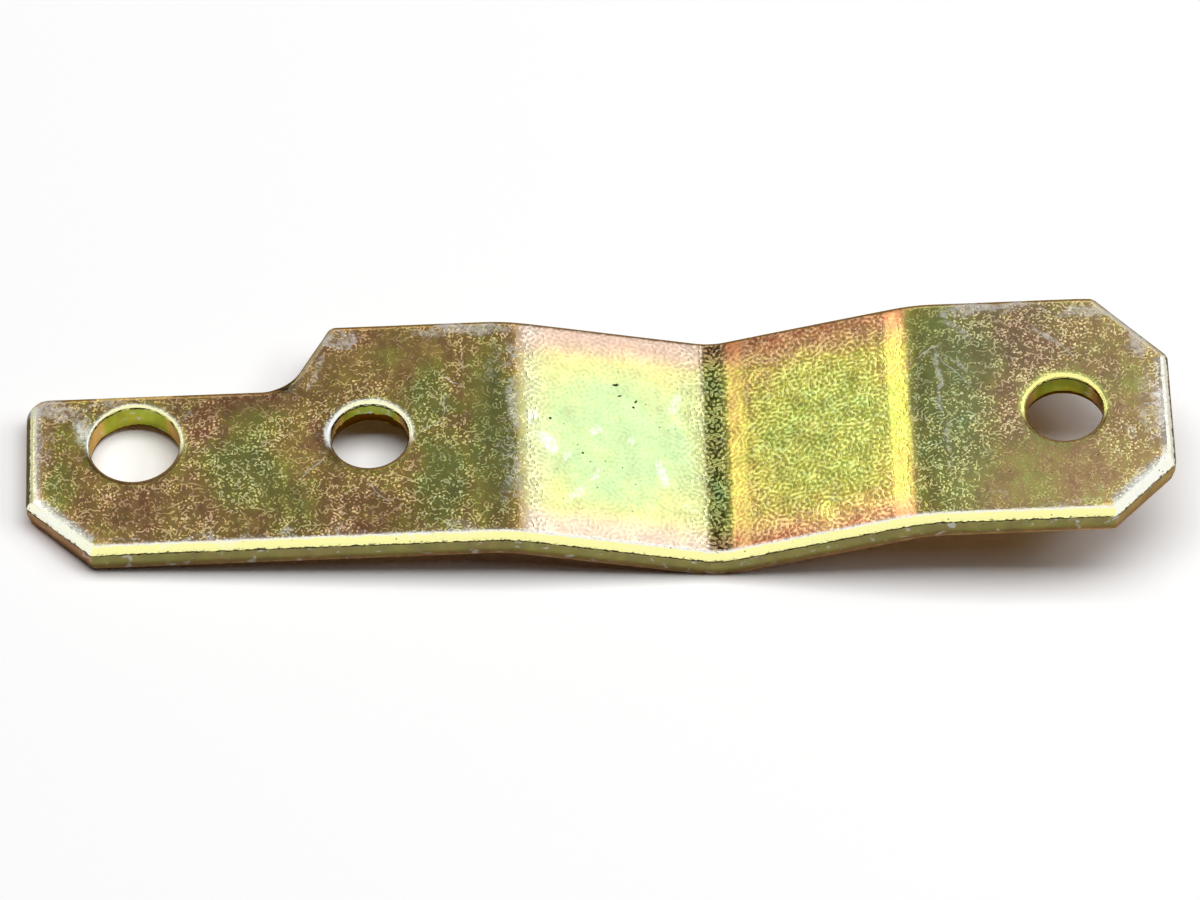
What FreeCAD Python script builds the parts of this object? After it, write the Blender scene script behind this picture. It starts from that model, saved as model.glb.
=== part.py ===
"""A stamped steel bracket: one flat strip, blanked, pierced and pressed into a shallow V.

Two level pads are joined by the V, which is as wide as the strip. The first pad
steps down to a narrow tongue with the large hole, and carries the middle hole under
the step. The last pad carries the end hole and has two cut corners. Every edge is a
sheared one: its top is rolled over, its middle is straight and its foot tapers away
from the cut. The holes are sheared the same way.

The strip is built level, from its tongue's end at x = 0, with its front edge at
y = 0 and its underside at z = 0. It is then tipped to the attitude in which it comes
to rest, on the foot of the tongue's end and the outside of the valley, and centred.
"""

import FreeCAD
import Part

import math
import os

# Sheet and strip, in millimetres as every length here
SHEET_THICKNESS = 4.0
STRIP_WIDTH = 31.0

# Lengths along the level strip, to where its straight top faces would meet if the bends were sharp
FIRST_PAD_LENGTH = 56.1
SHOULDER_TO_VALLEY = 23.7
END_PAD_LENGTH = 29.5
STRIP_LENGTH = FIRST_PAD_LENGTH + 2 * SHOULDER_TO_VALLEY + END_PAD_LENGTH

# Slope and bends of the V
SLOPE_ANGLE = 15.0
SHOULDER_INNER_RADIUS = 16.0
VALLEY_INNER_RADIUS = 6.0

# Tongue and the slanted step that leads up to the full width
TONGUE_WIDTH = 22.1
TONGUE_LENGTH = 30.3
STEP_ANGLE = 60.0
STEP_FOOT_RADIUS = 5.0
TONGUE_CORNER_RADIUS = 2.7

# Cut corners, each measured along the strip and across it
TONGUE_CUT_LENGTH = 7.5
TONGUE_CUT_WIDTH = 7.0
FRONT_CUT_LENGTH = 7.3
FRONT_CUT_WIDTH = 7.1
BACK_CUT_LENGTH = 8.2
BACK_CUT_WIDTH = 8.7
CORNER_RADIUS = 1.2

# Holes, all on one line parallel to the front edge
HOLE_LINE_Y = 15.0
LARGE_HOLE_DIAMETER = 10.5
LARGE_HOLE_X = 12.6
MIDDLE_HOLE_DIAMETER = 9.0
MIDDLE_HOLE_X = 39.9
END_HOLE_DIAMETER = 9.0
END_HOLE_FROM_END = 12.5

# Sheared edges: the roll at the top, the taper at the foot
EDGE_ROLL_RADIUS = 0.95
EDGE_TAPER_HEIGHT = 1.5
EDGE_TAPER_INSET = 0.35
LARGE_HOLE_ROLL_RADIUS = 0.3
SMALL_HOLE_ROLL_RADIUS = 0.45
HOLE_TAPER_HEIGHT = 1.2
LARGE_HOLE_FLARE = 0.1
SMALL_HOLE_FLARE = 0.35

# How far a cutting solid runs past what it cuts
OVERRUN = 5.0

ORIGIN = FreeCAD.Vector(0, 0, 0)
ACROSS = FreeCAD.Vector(0, 1, 0)
UP = FreeCAD.Vector(0, 0, 1)


def line(start, end):
    """Straight edge between two points."""
    return Part.LineSegment(start, end).toShape()


def arc(start, middle, end):
    """Circular edge through three points."""
    return Part.Arc(start, middle, end).toShape()


def unit(start, end):
    """Direction from one plan point to another, as a pair."""
    run = math.hypot(end[0] - start[0], end[1] - start[1])
    return (end[0] - start[0]) / run, (end[1] - start[1]) / run


def inset_corner(before, corner, after, inset):
    """Where a corner of an anticlockwise outline lies once both its sides have moved inwards."""
    ax, ay = unit(before, corner)
    bx, by = unit(corner, after)
    spread = 1 + ax * bx + ay * by
    return corner[0] - inset * (ay + by) / spread, corner[1] + inset * (ax + bx) / spread


def rounded_corner(before, corner, after, radius, z):
    """Start, middle and end of the arc that rounds one corner at height z."""
    ax, ay = unit(before, corner)
    bx, by = unit(corner, after)
    half_turn = abs(math.atan2(ax * by - ay * bx, ax * bx + ay * by)) / 2
    reach = radius * math.tan(half_turn)
    inward = radius * (1 / math.cos(half_turn) - 1) / (2 * math.sin(half_turn))
    x, y = corner
    return (
        FreeCAD.Vector(x - ax * reach, y - ay * reach, z),
        FreeCAD.Vector(x + (bx - ax) * inward, y + (by - ay) * inward, z),
        FreeCAD.Vector(x + bx * reach, y + by * reach, z),
    )


def outline_wire(corners, inset, z):
    """Closed wire at height z, inset from an anticlockwise outline of (x, y, radius) corners.

    An outer corner's radius shrinks by the inset, and an inner corner's grows by it.
    """
    count = len(corners)
    points = [
        inset_corner(corners[i - 1], corners[i], corners[(i + 1) % count], inset)
        for i in range(count)
    ]
    arcs = []
    for i, (x, y) in enumerate(points):
        before, after = points[i - 1], points[(i + 1) % count]
        ax, ay = unit(before, (x, y))
        bx, by = unit((x, y), after)
        turns_left = ax * by - ay * bx > 0
        radius = corners[i][2] - inset if turns_left else corners[i][2] + inset
        arcs.append(rounded_corner(before, (x, y), after, radius, z))
    edges = []
    for i, (start, middle, end) in enumerate(arcs):
        edges.append(arc(start, middle, end))
        edges.append(line(end, arcs[(i + 1) % count][0]))
    return Part.Wire(edges)


def sheared_plate(corners):
    """Plate of the sheet's thickness, with a sheared edge all round the outline."""
    middle = Part.Face(outline_wire(corners, 0, EDGE_TAPER_HEIGHT))
    upper = middle.extrude(UP * (SHEET_THICKNESS - EDGE_TAPER_HEIGHT))
    top_edges = [
        edge
        for edge in upper.Edges
        if all(abs(vertex.Z - SHEET_THICKNESS) < 1e-6 for vertex in edge.Vertexes)
    ]
    foot = Part.makeLoft(
        [
            outline_wire(corners, EDGE_TAPER_INSET, 0),
            outline_wire(corners, 0, EDGE_TAPER_HEIGHT),
        ],
        True,
        True,
    )
    return upper.makeFillet(EDGE_ROLL_RADIUS, top_edges).fuse(foot)


def between(solid, x_low, x_high):
    """The part of a level solid that lies between two places along the strip."""
    slice_box = Part.makeBox(
        x_high - x_low,
        STRIP_WIDTH + 2 * OVERRUN,
        SHEET_THICKNESS + 2 * OVERRUN,
        FreeCAD.Vector(x_low, -OVERRUN, -OVERRUN),
    )
    return solid.common(slice_box)


def hole_punch(x, diameter, roll, flare):
    """Solid that pierces one hole: rolled over at the top, straight, then flared at the foot."""

    def at(r, z):
        return FreeCAD.Vector(r, 0, z)

    radius = diameter / 2
    bulge = roll * (1 - math.sqrt(0.5))
    flare_below = flare * (1 + OVERRUN / HOLE_TAPER_HEIGHT)
    axis_top = at(0, SHEET_THICKNESS + OVERRUN)
    rim_top = at(radius + roll, SHEET_THICKNESS + OVERRUN)
    rim = at(radius + roll, SHEET_THICKNESS)
    roll_middle = at(radius + bulge, SHEET_THICKNESS - bulge)
    wall_top = at(radius, SHEET_THICKNESS - roll)
    wall_foot = at(radius, HOLE_TAPER_HEIGHT)
    flare_foot = at(radius + flare_below, -OVERRUN)
    axis_foot = at(0, -OVERRUN)
    profile = [
        line(axis_top, rim_top),
        line(rim_top, rim),
        arc(rim, roll_middle, wall_top),
        line(wall_top, wall_foot),
        line(wall_foot, flare_foot),
        line(flare_foot, axis_foot),
        line(axis_foot, axis_top),
    ]
    punch = Part.Face(Part.Wire(profile)).revolve(ORIGIN, UP, 360)
    punch.translate(FreeCAD.Vector(x, HOLE_LINE_Y, 0))
    return punch


def hole_punches():
    """The three solids that pierce the holes, from the tongue to the end pad."""
    end_hole_x = STRIP_LENGTH - END_HOLE_FROM_END
    return [
        hole_punch(LARGE_HOLE_X, LARGE_HOLE_DIAMETER, LARGE_HOLE_ROLL_RADIUS, LARGE_HOLE_FLARE),
        hole_punch(MIDDLE_HOLE_X, MIDDLE_HOLE_DIAMETER, SMALL_HOLE_ROLL_RADIUS, SMALL_HOLE_FLARE),
        hole_punch(end_hole_x, END_HOLE_DIAMETER, SMALL_HOLE_ROLL_RADIUS, SMALL_HOLE_FLARE),
    ]


def tongue_pad(x_end):
    """First pad, from the tongue's end to x_end, with the step and one cut corner."""
    step_top_x = TONGUE_LENGTH + (STRIP_WIDTH - TONGUE_WIDTH) / math.tan(math.radians(STEP_ANGLE))
    past_end = x_end + OVERRUN
    plate = sheared_plate(
        [
            (TONGUE_CUT_LENGTH, 0, CORNER_RADIUS),
            (past_end, 0, CORNER_RADIUS),
            (past_end, STRIP_WIDTH, CORNER_RADIUS),
            (step_top_x, STRIP_WIDTH, CORNER_RADIUS),
            (TONGUE_LENGTH, TONGUE_WIDTH, STEP_FOOT_RADIUS),
            (0, TONGUE_WIDTH, TONGUE_CORNER_RADIUS),
            (0, TONGUE_CUT_WIDTH, CORNER_RADIUS),
        ]
    )
    return between(plate, -OVERRUN, x_end)


def end_pad(x_start):
    """Last pad, from x_start to the end of the strip, with two cut corners."""
    before_start = x_start - OVERRUN
    plate = sheared_plate(
        [
            (before_start, 0, CORNER_RADIUS),
            (STRIP_LENGTH - FRONT_CUT_LENGTH, 0, CORNER_RADIUS),
            (STRIP_LENGTH, FRONT_CUT_WIDTH, CORNER_RADIUS),
            (STRIP_LENGTH, STRIP_WIDTH - BACK_CUT_WIDTH, CORNER_RADIUS),
            (STRIP_LENGTH - BACK_CUT_LENGTH, STRIP_WIDTH, CORNER_RADIUS),
            (before_start, STRIP_WIDTH, CORNER_RADIUS),
        ]
    )
    return between(plate, x_start, STRIP_LENGTH + OVERRUN)


def strip_section():
    """Cross-section of the strip at x = 0, with both its sheared edges."""

    def at(y, z):
        return FreeCAD.Vector(0, y, z)

    top = SHEET_THICKNESS
    roll = EDGE_ROLL_RADIUS
    bulge = roll * (1 - math.sqrt(0.5))
    far = STRIP_WIDTH
    front_top, front_side = at(roll, top), at(0, top - roll)
    front_taper, front_foot = at(0, EDGE_TAPER_HEIGHT), at(EDGE_TAPER_INSET, 0)
    back_foot, back_taper = at(far - EDGE_TAPER_INSET, 0), at(far, EDGE_TAPER_HEIGHT)
    back_side, back_top = at(far, top - roll), at(far - roll, top)
    edges = [
        arc(front_top, at(bulge, top - bulge), front_side),
        line(front_side, front_taper),
        line(front_taper, front_foot),
        line(front_foot, back_foot),
        line(back_foot, back_taper),
        line(back_taper, back_side),
        arc(back_side, at(far - bulge, top - bulge), back_top),
        line(back_top, front_top),
    ]
    return Part.Face(Part.Wire(edges))


class Pressing:
    """The pressed stretch of the strip: straight runs and bends, laid end to end from a level start."""

    def __init__(self, x_start):
        self.section = strip_section()
        self.section.translate(FreeCAD.Vector(x_start, 0, 0))
        self.top = FreeCAD.Vector(x_start, 0, SHEET_THICKNESS)
        self.heading = 0.0
        self.solids = []

    def direction(self):
        """The way the strip runs here."""
        angle = math.radians(self.heading)
        return FreeCAD.Vector(math.cos(angle), 0, math.sin(angle))

    def normal(self):
        """The way the top face looks here."""
        angle = math.radians(self.heading)
        return FreeCAD.Vector(-math.sin(angle), 0, math.cos(angle))

    def straight(self, length):
        """Adds a straight run."""
        step = self.direction() * length
        self.solids.append(self.section.extrude(step))
        self.section.translate(step)
        self.top += step

    def bend(self, rise_angle, top_radius):
        """Adds a bend by the radius of its top face: upwards if the angle is positive."""
        side = math.copysign(1, rise_angle)
        centre = self.top + self.normal() * (side * top_radius)
        axis = ACROSS * -side
        self.solids.append(self.section.revolve(centre, axis, abs(rise_angle)))
        self.section.rotate(centre, axis, abs(rise_angle))
        self.heading += rise_angle
        self.top = centre - self.normal() * (side * top_radius)


def level_bracket():
    """The whole bracket as one solid, before it is tipped."""
    slope = math.radians(SLOPE_ANGLE)
    shoulder_radius = SHOULDER_INNER_RADIUS + SHEET_THICKNESS
    shoulder_reach = shoulder_radius * math.tan(slope / 2)
    valley_reach = VALLEY_INNER_RADIUS * math.tan(slope)
    slope_run = SHOULDER_TO_VALLEY / math.cos(slope) - shoulder_reach - valley_reach

    vee_start = FIRST_PAD_LENGTH - shoulder_reach
    vee = Pressing(vee_start)
    vee.bend(-SLOPE_ANGLE, shoulder_radius)
    vee.straight(slope_run)
    vee.bend(2 * SLOPE_ANGLE, VALLEY_INNER_RADIUS)
    vee.straight(slope_run)
    vee.bend(-SLOPE_ANGLE, shoulder_radius)

    pieces = vee.solids + [end_pad(vee.top.x)]
    strip = tongue_pad(vee_start).multiFuse(pieces).removeSplitter()
    return strip.cut(hole_punches()).Solids[0]


def rest_angle():
    """Degrees by which the level bracket tips, tongue down, when it lies on a table.

    It then touches with the foot of the tongue's end and with the outside of the valley.
    """
    slope = math.radians(SLOPE_ANGLE)
    outer_radius = VALLEY_INNER_RADIUS + SHEET_THICKNESS
    along = FIRST_PAD_LENGTH + SHOULDER_TO_VALLEY - EDGE_TAPER_INSET
    valley_depth = SHOULDER_TO_VALLEY * math.tan(slope)
    height = SHEET_THICKNESS - valley_depth + VALLEY_INNER_RADIUS / math.cos(slope)
    drop = math.asin(outer_radius / math.hypot(along, height)) - math.atan2(height, along)
    return math.degrees(drop)


def centre_over_origin(solid):
    """Moves a solid so that the middle of its bounding box's underside is the origin."""
    box = solid.optimalBoundingBox(False)
    solid.translate(FreeCAD.Vector(-box.Center.x, -box.Center.y, -box.ZMin))


def main():
    bracket = level_bracket()
    bracket.rotate(ORIGIN, ACROSS, -rest_angle())
    centre_over_origin(bracket)
    os.makedirs("parts", exist_ok=True)
    bracket.exportStep("parts/bracket.step")
    box = bracket.optimalBoundingBox(False)
    print(f"bracket: {len(bracket.Faces)} faces, valid {bracket.isValid()}, {bracket.Volume:.0f} mm3,"
          f" tipped {rest_angle():.2f} degrees,"
          f" box {box.XLength:.2f} x {box.YLength:.2f} x {box.ZLength:.2f} mm")


main()
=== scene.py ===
"""A stamped bracket in yellow zinc plate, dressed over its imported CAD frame.

The strip is made here the way the press makes it. A flat blank is cut, its sheared
edges are rolled over at the top and tapered at the foot, three holes are pierced, and
the blank is bent along a path into its shallow V. It is then tipped to the attitude
in which it lies on a table. Lengths are in millimetres until the last step.
"""

import logging
import math
from collections.abc import Callable
from dataclasses import astuple, dataclass
from enum import Enum

import bmesh
import bpy
import numpy as np
from mathutils import Matrix, Vector, noise


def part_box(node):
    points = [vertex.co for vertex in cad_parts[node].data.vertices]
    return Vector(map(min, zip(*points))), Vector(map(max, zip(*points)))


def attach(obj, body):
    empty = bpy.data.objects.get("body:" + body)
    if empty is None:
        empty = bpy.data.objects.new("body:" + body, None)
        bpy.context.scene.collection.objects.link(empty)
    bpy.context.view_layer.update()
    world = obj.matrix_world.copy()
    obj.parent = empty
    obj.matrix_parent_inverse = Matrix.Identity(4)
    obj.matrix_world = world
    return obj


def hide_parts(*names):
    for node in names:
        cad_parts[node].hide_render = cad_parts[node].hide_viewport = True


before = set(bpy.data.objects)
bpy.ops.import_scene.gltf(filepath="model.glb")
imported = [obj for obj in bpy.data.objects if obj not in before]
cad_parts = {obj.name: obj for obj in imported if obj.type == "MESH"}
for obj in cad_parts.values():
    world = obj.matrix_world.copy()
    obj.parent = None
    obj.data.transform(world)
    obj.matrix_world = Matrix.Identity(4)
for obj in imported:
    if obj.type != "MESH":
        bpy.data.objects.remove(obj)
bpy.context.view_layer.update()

MM = 0.001
SEED_STEP = (7.31, -3.17, 5.83)

Colour = tuple[float, float, float]
Socket = bpy.types.NodeSocket
Face = bmesh.types.BMFace
Parts = dict[str, dict[str, float]]

log = logging.getLogger("bracket")


class Axis(Enum):
    """A direction of the flat blank, by its place in a point."""

    ALONG = 0
    ACROSS = 1
    THROUGH = 2

    def unit(self) -> Vector:
        """Unit vector of this direction."""
        return Vector(1.0 if i == self.value else 0.0 for i in range(3))


class Side(Enum):
    """A side of the blank's outline, by the number of the corner where it starts."""

    FRONT = 0
    END_FRONT_CUT = 1
    END = 2
    END_BACK_CUT = 3
    BACK = 4
    STEP = 5
    TONGUE_BACK = 6
    TONGUE_END = 7
    TONGUE_CUT = 8


@dataclass(frozen=True)
class Corner:
    """One corner of the blank's outline.

    Attributes:
        x: Place along the blank where its two sides would meet.
        y: Place across the blank.
        radius: Radius that rounds it.
    """

    x: float
    y: float
    radius: float


@dataclass(frozen=True)
class Hole:
    """One pierced hole.

    Attributes:
        x: Place of its centre along the blank.
        y: Place of its centre across the blank.
        radius: Radius of its straight wall.
        roll: Radius of the rolled rim at its top.
        flare: How much wider its foot is, on the radius.
        tile: Half the side of the square of sheet that its rings of faces fill.
    """

    x: float
    y: float
    radius: float
    roll: float
    flare: float
    tile: float


@dataclass(frozen=True)
class Stretch:
    """One stretch of the pressed strip, measured along its top face.

    Attributes:
        length: How much of the blank it takes.
        turn: How far the strip's heading rises over it, in radians.
    """

    length: float
    turn: float = 0.0


class PressedPath:
    """The line that the strip's top face follows once it is pressed."""

    def __init__(self, stretches: list[Stretch], thickness: float) -> None:
        """Keeps the stretches in order, from a level start.

        Args:
            stretches: Straight runs and bends, end to end.
            thickness: Thickness of the sheet.
        """
        self.stretches = stretches
        self.thickness = thickness

    def place(self, blank: np.ndarray) -> np.ndarray:
        """Bends points of the flat blank.

        Args:
            blank: Points as rows of place along, across and through the blank.

        Returns:
            The same points on the pressed strip, as rows of x, y and z.
        """
        placed = blank.copy()
        x, z, heading, start = 0.0, self.thickness, 0.0, 0.0
        for number, stretch in enumerate(self.stretches):
            reaches_end = number == len(self.stretches) - 1
            inside = (blank[:, 0] >= start) | (number == 0)
            inside &= (blank[:, 0] < start + stretch.length) | reaches_end
            along = np.append(blank[inside, 0] - start, stretch.length)
            curve = stretch.turn / stretch.length
            here = heading + curve * along
            if curve:
                run_x = x + (np.sin(here) - math.sin(heading)) / curve
                run_z = z - (np.cos(here) - math.cos(heading)) / curve
            else:
                run_x = x + along * math.cos(heading)
                run_z = z + along * math.sin(heading)
            above = blank[inside, 2] - self.thickness
            placed[inside, 0] = run_x[:-1] - above * np.sin(here[:-1])
            placed[inside, 2] = run_z[:-1] + above * np.cos(here[:-1])
            x, z, heading = run_x[-1], run_z[-1], here[-1]
            start += stretch.length
        return placed


@dataclass(frozen=True)
class Ripple:
    """A smooth random unevenness over the blank.

    Attributes:
        wavelength: Size of one rise and fall, in millimetres.
        seed: Moves the pattern, so that two of them differ.
    """

    wavelength: float
    seed: float

    def over(self, points: np.ndarray) -> np.ndarray:
        """Values of the unevenness, from about -1 to 1.

        Args:
            points: Points as rows.

        Returns:
            One value for each point.
        """
        shift = Vector([self.seed * step for step in SEED_STEP])
        scaled = points * (2.0 / self.wavelength)
        return np.array([noise.noise(Vector(point) + shift) for point in scaled])


def ease(values: np.ndarray, low: float, high: float) -> np.ndarray:
    """Smooth step from 0 at low to 1 at high.

    Args:
        values: Values to place between the two.
        low: Where the step starts.
        high: Where the step ends, which may be less than low.

    Returns:
        Values from 0 to 1.
    """
    share = np.clip((values - low) / (high - low), 0.0, 1.0)
    return share * share * (3.0 - 2.0 * share)


@dataclass(frozen=True)
class Band:
    """A band that runs across the blank, with a soft border on each side.

    Attributes:
        start: Place along the blank, in millimetres, where its first border starts.
        full: Place where that border ends.
        fading: Place where its second border starts.
        gone: Place where that border ends.
    """

    start: float
    full: float
    fading: float
    gone: float

    def over(self, along: np.ndarray) -> np.ndarray:
        """Share of the band at places along the blank, from 0 to 1."""
        return ease(along, self.start, self.full) * ease(along, self.gone, self.fading)


@dataclass
class BracketStrip:
    """The bracket's one piece of sheet, with its sizes in millimetres and degrees.

    Attributes:
        thickness: Thickness of the sheet.
        width: Width of the sheet.
        first_pad: Level distance from the tongue's end to the middle of the first bend.
        shoulder_to_valley: Level distance from there to the middle of the valley.
        end_pad: Level distance from the middle of the last bend to the end.
        slope_angle: Slope of both sides of the V.
        shoulder_top_radius: Radius of the two outer bends, on the top face.
        valley_top_radius: Radius of the valley's bend, on the top face.
        tongue_width: Width of the narrow tongue.
        tongue_length: Length of the tongue, up to the foot of the step.
        step_angle: Angle of the step to the blank's length.
        step_foot_radius: Radius of the corner at the foot of the step.
        tongue_corner_radius: Radius of the tongue's back corner.
        tongue_cut: Run of the tongue's cut corner, along and across.
        front_cut: Run of the end's front cut corner, along and across.
        back_cut: Run of the end's back cut corner, along and across.
        corner_radius: Radius of every other corner.
        hole_line: Place of the holes across the blank.
        large_hole_x: Place of the large hole along the blank.
        middle_hole_x: Place of the middle hole along the blank.
        end_hole_from_end: Distance of the end hole from the end.
        edge_roll: Radius of the rolled top of the sheared edges.
        edge_taper_height: Height from which the edges taper down to their foot.
        edge_taper_inset: How far their foot stands in.
        hole_taper_height: Height from which a hole widens down to its foot.
        chamfer_droop: How far the top sinks towards the front's cut corners.
        end_droop: How far it sinks towards the two ends.
        hole_droop: How far it sinks towards the holes.
        droop_reach: How far from an edge it starts to sink.
        wave_depth: Depth of the faces' long waves.
        ripple_depth: Depth of their short ripples.
        tear_depth: Depth of the torn places on the sheared walls.
        cell: Side of the small cells that the blank is divided into.
        snap: Distance within which a cut takes a point that is already there.
        corner_step: Length of one face round a corner.
        wall_cuts: Heights at which the sheared edges' walls are divided.
        bore_cuts: Heights at which the holes' walls are divided.
        roll_steps: Number of faces across a rolled edge.
        flare_steps: Number of faces down a hole's widened foot.
        tile_rings: Number of rings from a hole's tile to just outside its rim.
        ring_margin: How far outside the rim the last of them lies.
        sharp_angle: Angle from which an edge shows as sharp.
    """

    thickness: float = 4.0
    width: float = 31.0
    first_pad: float = 56.1
    shoulder_to_valley: float = 23.7
    end_pad: float = 29.5
    slope_angle: float = 15.0
    shoulder_top_radius: float = 20.0
    valley_top_radius: float = 6.0
    tongue_width: float = 22.1
    tongue_length: float = 30.3
    step_angle: float = 60.0
    step_foot_radius: float = 5.0
    tongue_corner_radius: float = 2.7
    tongue_cut: tuple[float, float] = (7.5, 7.0)
    front_cut: tuple[float, float] = (7.3, 7.1)
    back_cut: tuple[float, float] = (8.2, 8.7)
    corner_radius: float = 1.2
    hole_line: float = 15.0
    large_hole_x: float = 12.6
    middle_hole_x: float = 39.9
    end_hole_from_end: float = 12.5
    edge_roll: float = 0.95
    edge_taper_height: float = 1.5
    edge_taper_inset: float = 0.35
    hole_taper_height: float = 1.2
    chamfer_droop: float = 0.2
    end_droop: float = 0.1
    hole_droop: float = 0.07
    droop_reach: float = 2.4
    wave_depth: float = 0.03
    ripple_depth: float = 0.008
    tear_depth: float = 0.06
    cell: float = 0.5
    snap: float = 0.04
    corner_step: float = 0.25
    wall_cuts: tuple[float, ...] = (0.5, 1.0, 2.0, 2.5)
    bore_cuts: tuple[float, ...] = (3.1, 2.6, 2.1)
    roll_steps: int = 6
    flare_steps: int = 3
    tile_rings: int = 4
    ring_margin: float = 0.3
    sharp_angle: float = 30.0

    WAVES = Ripple(14.0, seed=1.0)
    RIPPLES = Ripple(5.0, seed=2.0)
    TEARS = Ripple(1.1, seed=3.0)
    SAGS = Ripple(6.0, seed=5.0)

    def __post_init__(self) -> None:
        """Works out the stretches of the blank and the holes from the sizes."""
        slope = math.radians(self.slope_angle)
        shoulder_reach = self.shoulder_top_radius * math.tan(slope / 2)
        valley_reach = self.valley_top_radius * math.tan(slope)
        flat = self.first_pad - shoulder_reach
        run = self.shoulder_to_valley / math.cos(slope) - shoulder_reach - valley_reach
        shoulder = Stretch(self.shoulder_top_radius * slope, -slope)
        valley = Stretch(self.valley_top_radius * 2 * slope, 2 * slope)
        last = Stretch(self.end_pad - shoulder_reach)
        first, slope_run = Stretch(flat), Stretch(run)
        self.stretches = [first, shoulder, slope_run, valley, slope_run, shoulder, last]
        self.length = sum(stretch.length for stretch in self.stretches)
        self.path = PressedPath(self.stretches, self.thickness)
        line, end_hole_x = self.hole_line, self.length - self.end_hole_from_end
        self.holes = [
            Hole(self.large_hole_x, line, radius=5.25, roll=0.3, flare=0.1, tile=6.0),
            Hole(self.middle_hole_x, line, radius=4.5, roll=0.45, flare=0.35, tile=6.0),
            Hole(end_hole_x, line, radius=4.5, roll=0.45, flare=0.35, tile=6.0),
        ]

    def corners(self) -> list[Corner]:
        """Corners of the blank's outline, anticlockwise from the tongue's front.

        Returns:
            The corners, in the order of the sides that start at them.
        """
        small = self.corner_radius
        step_run = (self.width - self.tongue_width) / math.tan(math.radians(self.step_angle))
        return [
            Corner(self.tongue_cut[0], 0.0, small),
            Corner(self.length - self.front_cut[0], 0.0, small),
            Corner(self.length, self.front_cut[1], small),
            Corner(self.length, self.width - self.back_cut[1], small),
            Corner(self.length - self.back_cut[0], self.width, small),
            Corner(self.tongue_length + step_run, self.width, small),
            Corner(self.tongue_length, self.tongue_width, self.step_foot_radius),
            Corner(0.0, self.tongue_width, self.tongue_corner_radius),
            Corner(0.0, self.tongue_cut[1], small),
        ]

    def cut_blank(self, bm: bmesh.types.BMesh) -> Face:
        """Cuts the outline as one face, with its corners rounded.

        Args:
            bm: Empty mesh that receives the face.

        Returns:
            The face, at the height where the edges' taper starts.
        """
        corners = self.corners()
        marks = [bm.verts.new((c.x, c.y, self.edge_taper_height)) for c in corners]
        bm.faces.new(marks)
        for number, (mark, corner) in enumerate(zip(marks, corners)):
            here = Vector((corner.x, corner.y))
            before, after = corners[number - 1], corners[(number + 1) % len(corners)]
            arriving = here - Vector((before.x, before.y))
            leaving = Vector((after.x, after.y)) - here
            turn = arriving.angle(leaving)
            bmesh.ops.bevel(
                bm,
                geom=[mark],
                offset=corner.radius * math.tan(turn / 2),
                offset_type="OFFSET",
                segments=max(4, round(corner.radius * turn / self.corner_step)),
                profile=0.5,
                affect="VERTICES",
                material=-1,
            )
        bm.normal_update()
        return next(iter(bm.faces))

    def shear_edges(self, bm: bmesh.types.BMesh, blank: Face) -> None:
        """Gives the blank its thickness, its rolled top edge and its tapered foot.

        Args:
            bm: Mesh that holds the blank.
            blank: The blank's face, which becomes the underside.
        """
        grown = bmesh.ops.extrude_face_region(bm, geom=[blank])["geom"]
        raised = [item for item in grown if isinstance(item, bmesh.types.BMVert)]
        wall = self.thickness - self.edge_roll - self.edge_taper_height
        bmesh.ops.translate(bm, verts=raised, vec=Axis.THROUGH.unit() * wall)
        bm.normal_update()
        top = next(item for item in grown if isinstance(item, Face))
        for step in range(self.roll_steps):
            low = math.pi / 2 * step / self.roll_steps
            high = math.pi / 2 * (step + 1) / self.roll_steps
            bmesh.ops.inset_region(
                bm,
                faces=[top],
                thickness=self.edge_roll * (math.cos(low) - math.cos(high)),
                depth=self.edge_roll * (math.sin(high) - math.sin(low)),
                use_even_offset=True,
                use_boundary=True,
            )
        bottom = min(bm.faces, key=lambda face: face.normal.z)
        bmesh.ops.inset_region(
            bm,
            faces=[bottom],
            thickness=self.edge_taper_inset,
            depth=self.edge_taper_height,
            use_even_offset=True,
            use_boundary=True,
        )

    def slice_at(self, bm: bmesh.types.BMesh, axis: Axis, place: float, kept: set[Face]) -> None:
        """Divides the faces that cross one plane.

        Args:
            bm: Mesh of the blank.
            axis: Direction that the plane is square to.
            place: Where the plane stands on that direction.
            kept: Faces that stay whole, though their edges are divided.
        """
        free = [face for face in bm.faces if face not in kept]
        bmesh.ops.bisect_plane(
            bm,
            geom=free + list(bm.edges),
            dist=self.snap,
            plane_co=axis.unit() * place,
            plane_no=axis.unit(),
        )

    def stations(self) -> list[float]:
        """Places along the blank where a row of faces ends: its ends, bends and tiles.

        Returns:
            The places, in order.
        """
        marks = [0.0]
        for stretch in self.stretches:
            marks.append(marks[-1] + stretch.length)
        for hole in self.holes:
            marks += [hole.x - hole.tile, hole.x + hole.tile]
        return sorted(marks)

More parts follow.
